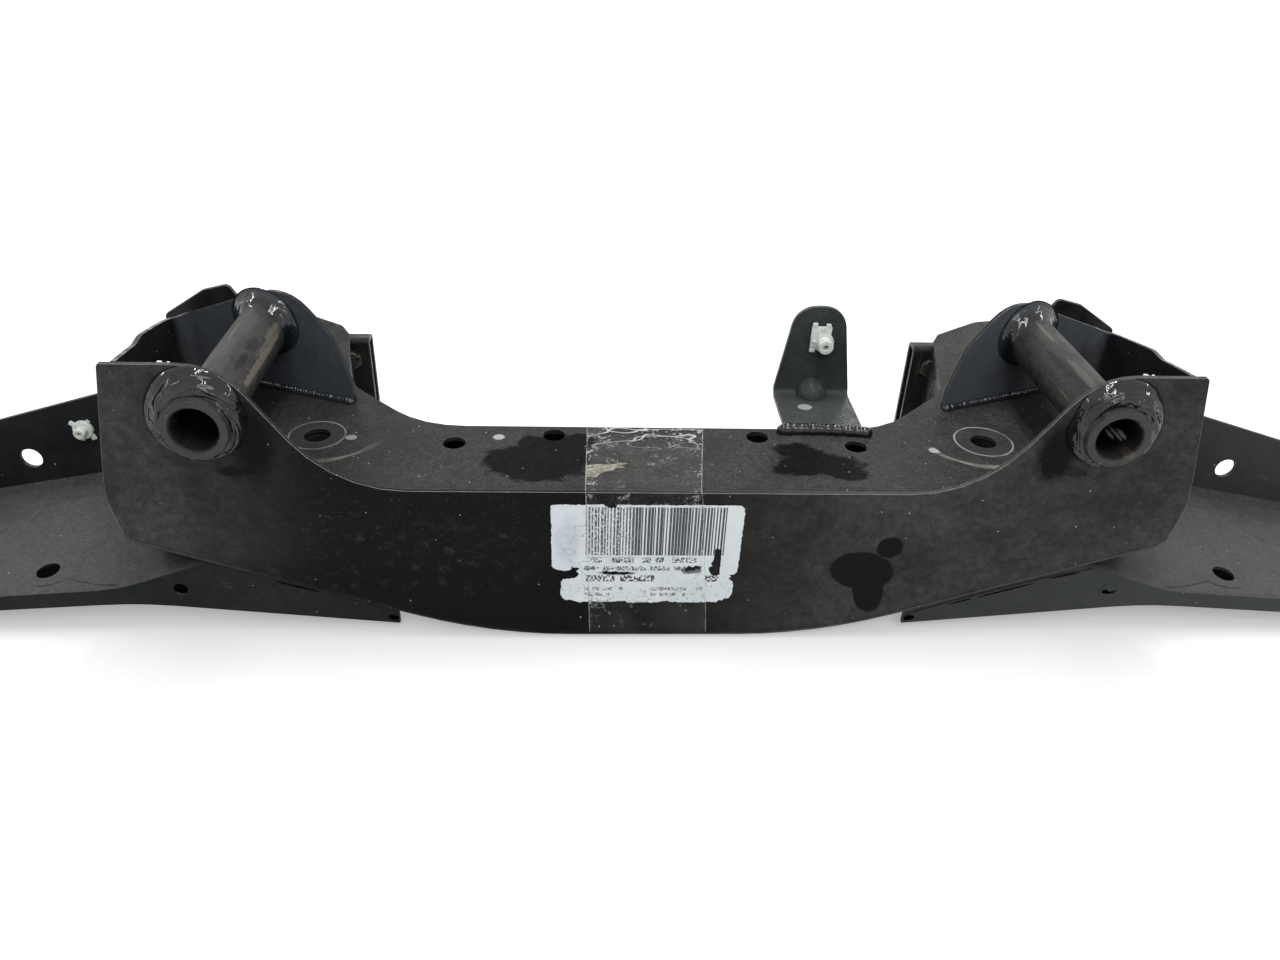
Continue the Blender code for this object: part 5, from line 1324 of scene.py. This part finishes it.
SURFACES = {node: surface_of(node) for node in ("left_wing", "right_wing", "bottom_plate")}


def drop_on(node, x, y):
    """A place on a node's upper side, straight below (x, y)."""
    return SURFACES[node].ray_cast(mm(x, y, 300), Vector((0, 0, -1)))[0]


def pressed_ridge(name, node, points, width, rise, finish):
    """A low rounded ridge along (x, y) points on a node."""
    run = []
    for (x0, y0), (x1, y1) in zip(points, points[1:]):
        count = max(1, round(hypot(x1 - x0, y1 - y0) / 3))
        run += [(x0 + (x1 - x0) * i / count, y0 + (y1 - y0) * i / count) for i in range(count)]
    places = [place for place in (drop_on(node, x, y) for x, y in run + [points[-1]]) if place]
    line = curve_through(name, [places])
    line.bevel_depth, line.bevel_resolution, line.use_fill_caps = width * 0.0005, 3, True
    for i, point in enumerate(line.splines[0].points):
        point.co.z += (rise - width / 2) * 0.001
        point.radius = min(1.0, 0.25 + 0.25 * min(i, len(places) - 1 - i))
    holder = bpy.data.objects.new(name, line)
    bpy.context.scene.collection.objects.link(holder)
    mesh = mesh_taken_from(holder)
    mesh.shade_smooth()
    piece = new_piece(name, mesh, finish)
    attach(piece, "root")


FRONT_RIDGE = ((360, 15.2), (347, 13.6), (340, 15.8), (335, 18.6), (327, 15.6), (314, 11.6), (300, 9.4))
PLATEAU_EDGE = ((312, 96.4), (345, 96.4), (378, 96.0), (385, 92.5), (397.5, 65), (430, 48.5), (466, 32))
for side, sign in (("left", -1), ("right", 1)):
    for ridge, line, width, rise in (("front_ridge", FRONT_RIDGE, 2.2, 0.55),
                                     ("plateau_edge", PLATEAU_EDGE, 1.6, 0.3)):
        pressed_ridge(f"{side}_{ridge}", f"{side}_wing", [(sign * x, y) for x, y in line], width, rise, wing_coat)

# %% Laps, slots and a ragged hole in the skirts
def strip_on_skirt(name, outlines, thickness, face_y, finish, rough=0.0):
    """A thin upright sheet in front of a skirt."""
    mesh = cut_sheet(name, [ragged(outline, 0.8, rough, 2.0) for outline in outlines], thickness,
                     lambda across, rise, depth: (across, face_y - depth, rise))
    piece = new_piece(name, mesh, finish)
    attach(piece, "root")


def oval(x, z, long, high, slope=0.0, steps=20):
    """An ellipse whose long axis rises by slope."""
    angle = radians(slope)
    return [(x + long / 2 * cos(t) * cos(angle) - high / 2 * sin(t) * sin(angle),
             z + long / 2 * cos(t) * sin(angle) + high / 2 * sin(t) * cos(angle))
            for t in (2 * pi * i / steps for i in range(steps))]


# Near-black painted shade for the inside of holes and slots.
shade_black = Finish("open_gap", roughness=0.9, specular=0.0)
shade_black.set(Base_Color=shade_black.mix(shade_black.clouds(0.004), (0.001, 0.001, 0.001), (0.004, 0.004, 0.004)))
SKIRT_HOLE, TRAY_HOLE = (268, 31), (350, 26.5)
for side, sign in (("left", -1), ("right", 1)):
    # The real wing is closed by a second sheet below; a near-black disc of painted shade stands close behind each
    # hole.
    strip_on_skirt(f"{side}_skirt_hole_back", [oval(sign * SKIRT_HOLE[0], SKIRT_HOLE[1], 8.6, 8.6)], 0.5, 8.1,
                   shade_black.material)
    x, y = sign * TRAY_HOLE[0], TRAY_HOLE[1]
    tray = drop_on(f"{side}_wing", x - 9, y).lerp(drop_on(f"{side}_wing", x + 9, y), 0.5).z * 1000
    fall = (drop_on(f"{side}_wing", x + 9, y).z - drop_on(f"{side}_wing", x - 9, y).z) / 0.018
    disc = cut_sheet("tray_hole_back", [oval(x, y, 13.6, 13.6)], 0.6,
                     lambda across, rise, depth: (across, rise, tray - 1.9 + depth + fall * (across - x)))
    under = new_piece(f"{side}_tray_hole_back", disc, shade_black.material)
    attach(under, "root")
strip_on_skirt("right_lap_strip", [[(153, 10.5), (174, 17.8), (202, 27.8), (226, 35.2), (236, 37), (250, 39.8),
                                    (256, 42.2), (257.4, 45), (254.6, 47.6), (240, 44.6), (226, 40.6), (202, 33),
                                    (174, 23), (151, 14)]], 0.5, 5.75, wing_coat, 0.2)
# Thin near-black ovals on the right skirt are painted shade in the slots along the laps.
for number, (x, z, long, high, slope) in enumerate(((205, 32.0, 34, 1.0, 18.5), (238, 43.2, 17, 1.1, 15),
                                                    (180, 23.6, 14, 0.9, 19), (151.4, 11.2, 6.5, 3.6, 15))):
    strip_on_skirt(f"right_gap_{number + 1}", [oval(x, z, long, high, slope)], 0.1, 5.35, shade_black.material,
                   0.25)
# The left skirt's slots, in painted shade too.
for number, (x, z, long, high, slope) in enumerate(((-203, 33.2, 26, 0.9, -18), (-151.4, 10.8, 6.5, 3.6, -15))):
    strip_on_skirt(f"left_gap_{number + 1}", [oval(x, z, long, high, slope)], 0.1, 6.15, shade_black.material,
                   0.25)
FILM_HOLE = [(262.6, 30.4), (264, 32), (266, 32.2), (268.4, 30.8), (270.4, 31.2), (272.4, 33.6), (273, 31.2),
             (271.2, 29.2), (268, 28.9), (264.6, 29.2)]
strip_on_skirt("right_skirt_film", [oval(*SKIRT_HOLE, 11.5, 10.5), FILM_HOLE], 0.2, 6.1, wing_coat,
               0.3)
print("wings have their ridges and laps")

# %% [markdown]
# ## Crumbs and spatter
#
# Welding throws small beads that stick to the sheet under its coat, and grit lies on top. Placing them by
# hand would take long and look arranged. A Geometry Nodes tree scatters points over a sheet at a density per
# square metre, keeps them at least a few millimetres apart, and sets a low drop of a random size on each.

# %% Scatter crumbs over a sheet
def crumb_tree():
    """Geometry Nodes: small flat drops scattered over a surface."""
    tree = bpy.data.node_groups.new("scattered_crumbs", "GeometryNodeTree")
    tree.is_modifier = True
    face = tree.interface
    face.new_socket("Surface", in_out="INPUT", socket_type="NodeSocketGeometry")
    face.new_socket("Crumbs", in_out="OUTPUT", socket_type="NodeSocketGeometry")
    for label, kind, value in (("Density", "NodeSocketFloat", 500.0), ("Apart", "NodeSocketFloat", 0.006),
                               ("Smallest", "NodeSocketFloat", 0.0003), ("Largest", "NodeSocketFloat", 0.0009),
                               ("Seed", "NodeSocketInt", 1), ("Finish", "NodeSocketMaterial", None)):
        socket = face.new_socket(label, in_out="INPUT", socket_type=kind)
        if value is not None:
            socket.default_value = value
    add, link = tree.nodes.new, tree.links.new
    given, result = add("NodeGroupInput"), add("NodeGroupOutput")
    points = add("GeometryNodeDistributePointsOnFaces")
    points.distribute_method = "POISSON"
    link(given.outputs["Surface"], points.inputs["Mesh"])
    link(given.outputs["Density"], points.inputs["Density Max"])
    link(given.outputs["Apart"], points.inputs["Distance Min"])
    link(given.outputs["Seed"], points.inputs["Seed"])
    drop = add("GeometryNodeMeshIcoSphere")
    drop.inputs["Radius"].default_value = 0.5
    drop.inputs["Subdivisions"].default_value = 2
    flat = add("GeometryNodeTransform")
    flat.inputs["Scale"].default_value = (1.0, 1.25, 0.7)
    link(drop.outputs["Mesh"], flat.inputs["Geometry"])
    smooth = add("GeometryNodeSetShadeSmooth")
    link(flat.outputs["Geometry"], smooth.inputs["Geometry"])
    chance = add("FunctionNodeRandomValue")
    link(given.outputs["Smallest"], chance.inputs[2])
    link(given.outputs["Largest"], chance.inputs[3])
    link(given.outputs["Seed"], chance.inputs["Seed"])
    scatter = add("GeometryNodeInstanceOnPoints")
    link(points.outputs["Points"], scatter.inputs["Points"])
    link(smooth.outputs["Geometry"], scatter.inputs["Instance"])
    link(points.outputs["Rotation"], scatter.inputs["Rotation"])
    link(chance.outputs[1], scatter.inputs["Scale"])
    real, finish = add("GeometryNodeRealizeInstances"), add("GeometryNodeSetMaterial")
    link(scatter.outputs["Instances"], real.inputs["Geometry"])
    link(real.outputs["Geometry"], finish.inputs["Geometry"])
    link(given.outputs["Finish"], finish.inputs["Material"])
    link(finish.outputs["Geometry"], result.inputs["Crumbs"])
    return tree


scattered_crumbs = crumb_tree()


def scatter_on(name, sheet, density, smallest, largest, seed, finish):
    """A piece of crumbs over a dressed sheet."""
    holder = bpy.data.objects.new(name, bpy.data.objects[sheet].data.copy())
    bpy.context.scene.collection.objects.link(holder)
    spread = holder.modifiers.new("crumbs", "NODES")
    spread.node_group = scattered_crumbs
    set_inputs(spread, Density=density, Smallest=smallest, Largest=largest, Seed=seed, Finish=finish)
    mesh = mesh_taken_from(holder)
    piece = new_piece(name, mesh, finish)
    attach(piece, "root")
    return len(mesh.polygons)


grit = Finish("pale_grit", roughness=0.6, specular=0.3)
grit.set(Base_Color=grit.mix(grit.band(grit.clouds(0.02, 3.0), 0.4, 0.6), (0.28, 0.28, 0.26), (0.62, 0.63, 0.61)))
total = 0
DUSTY_SHEETS = (("front_plate_sheet", 620, 0.0008), ("top_plate_sheet", 1300, 0.0008),
                ("left_wing_sheet", 420, 0.0010), ("right_wing_sheet", 520, 0.0010),
                ("left_link_bracket_sheet", 900, 0.0008), ("right_link_bracket_sheet", 900, 0.0008))
for number, (sheet, density, largest) in enumerate(DUSTY_SHEETS):
    total += scatter_on(sheet.replace("_sheet", "_grit"), sheet, density, 0.0003, largest, 21 + number,
                        grit.material)
for number, side in enumerate(("left", "right")):
    total += scatter_on(f"{side}_dome_spatter", f"{side}_ear_plate_sheet", 900, 0.0005, 0.0016, 41 + number,
                        weld_finish)
print(total, "faces of crumbs")

# %% [markdown]
# ## Seams out of the camera's sight
#
# The part is also looked at from behind and from the sides. There the box is closed by a long weld between
# its rear wall and bottom sheet, and short beads hold the link brackets, the walls and the plates behind the
# domes. They use the same bead tree. Each seam is a run of places along the corner of two sheets.

# %% Weld the hidden seams
def level_of(node, x, y):
    place = drop_on(node, x, y)
    return (place.z * 1000) if place else 0.0


bottom_run = [mm(x, 71.5, level_of("bottom_plate", x, 69) + 0.6) for x in range(-120, 121, 4)]
lay_bead("bottom_seam_bead", [bottom_run], 0.0058, 0.0024, 0.0023, 31)
for side, sign in (("left", -1), ("right", 1)):
    runs = [[mm(sign * x, 151.2, 102.4) for x in range(252, 302, 2)],
            [mm(sign * 304.6, y, 100.0) for y in range(160, 228, 2)]]
    lay_bead(f"{side}_back_seam_bead", runs, 0.0055, 0.0022, 0.0021, 33 + sign)
print("seams welded")
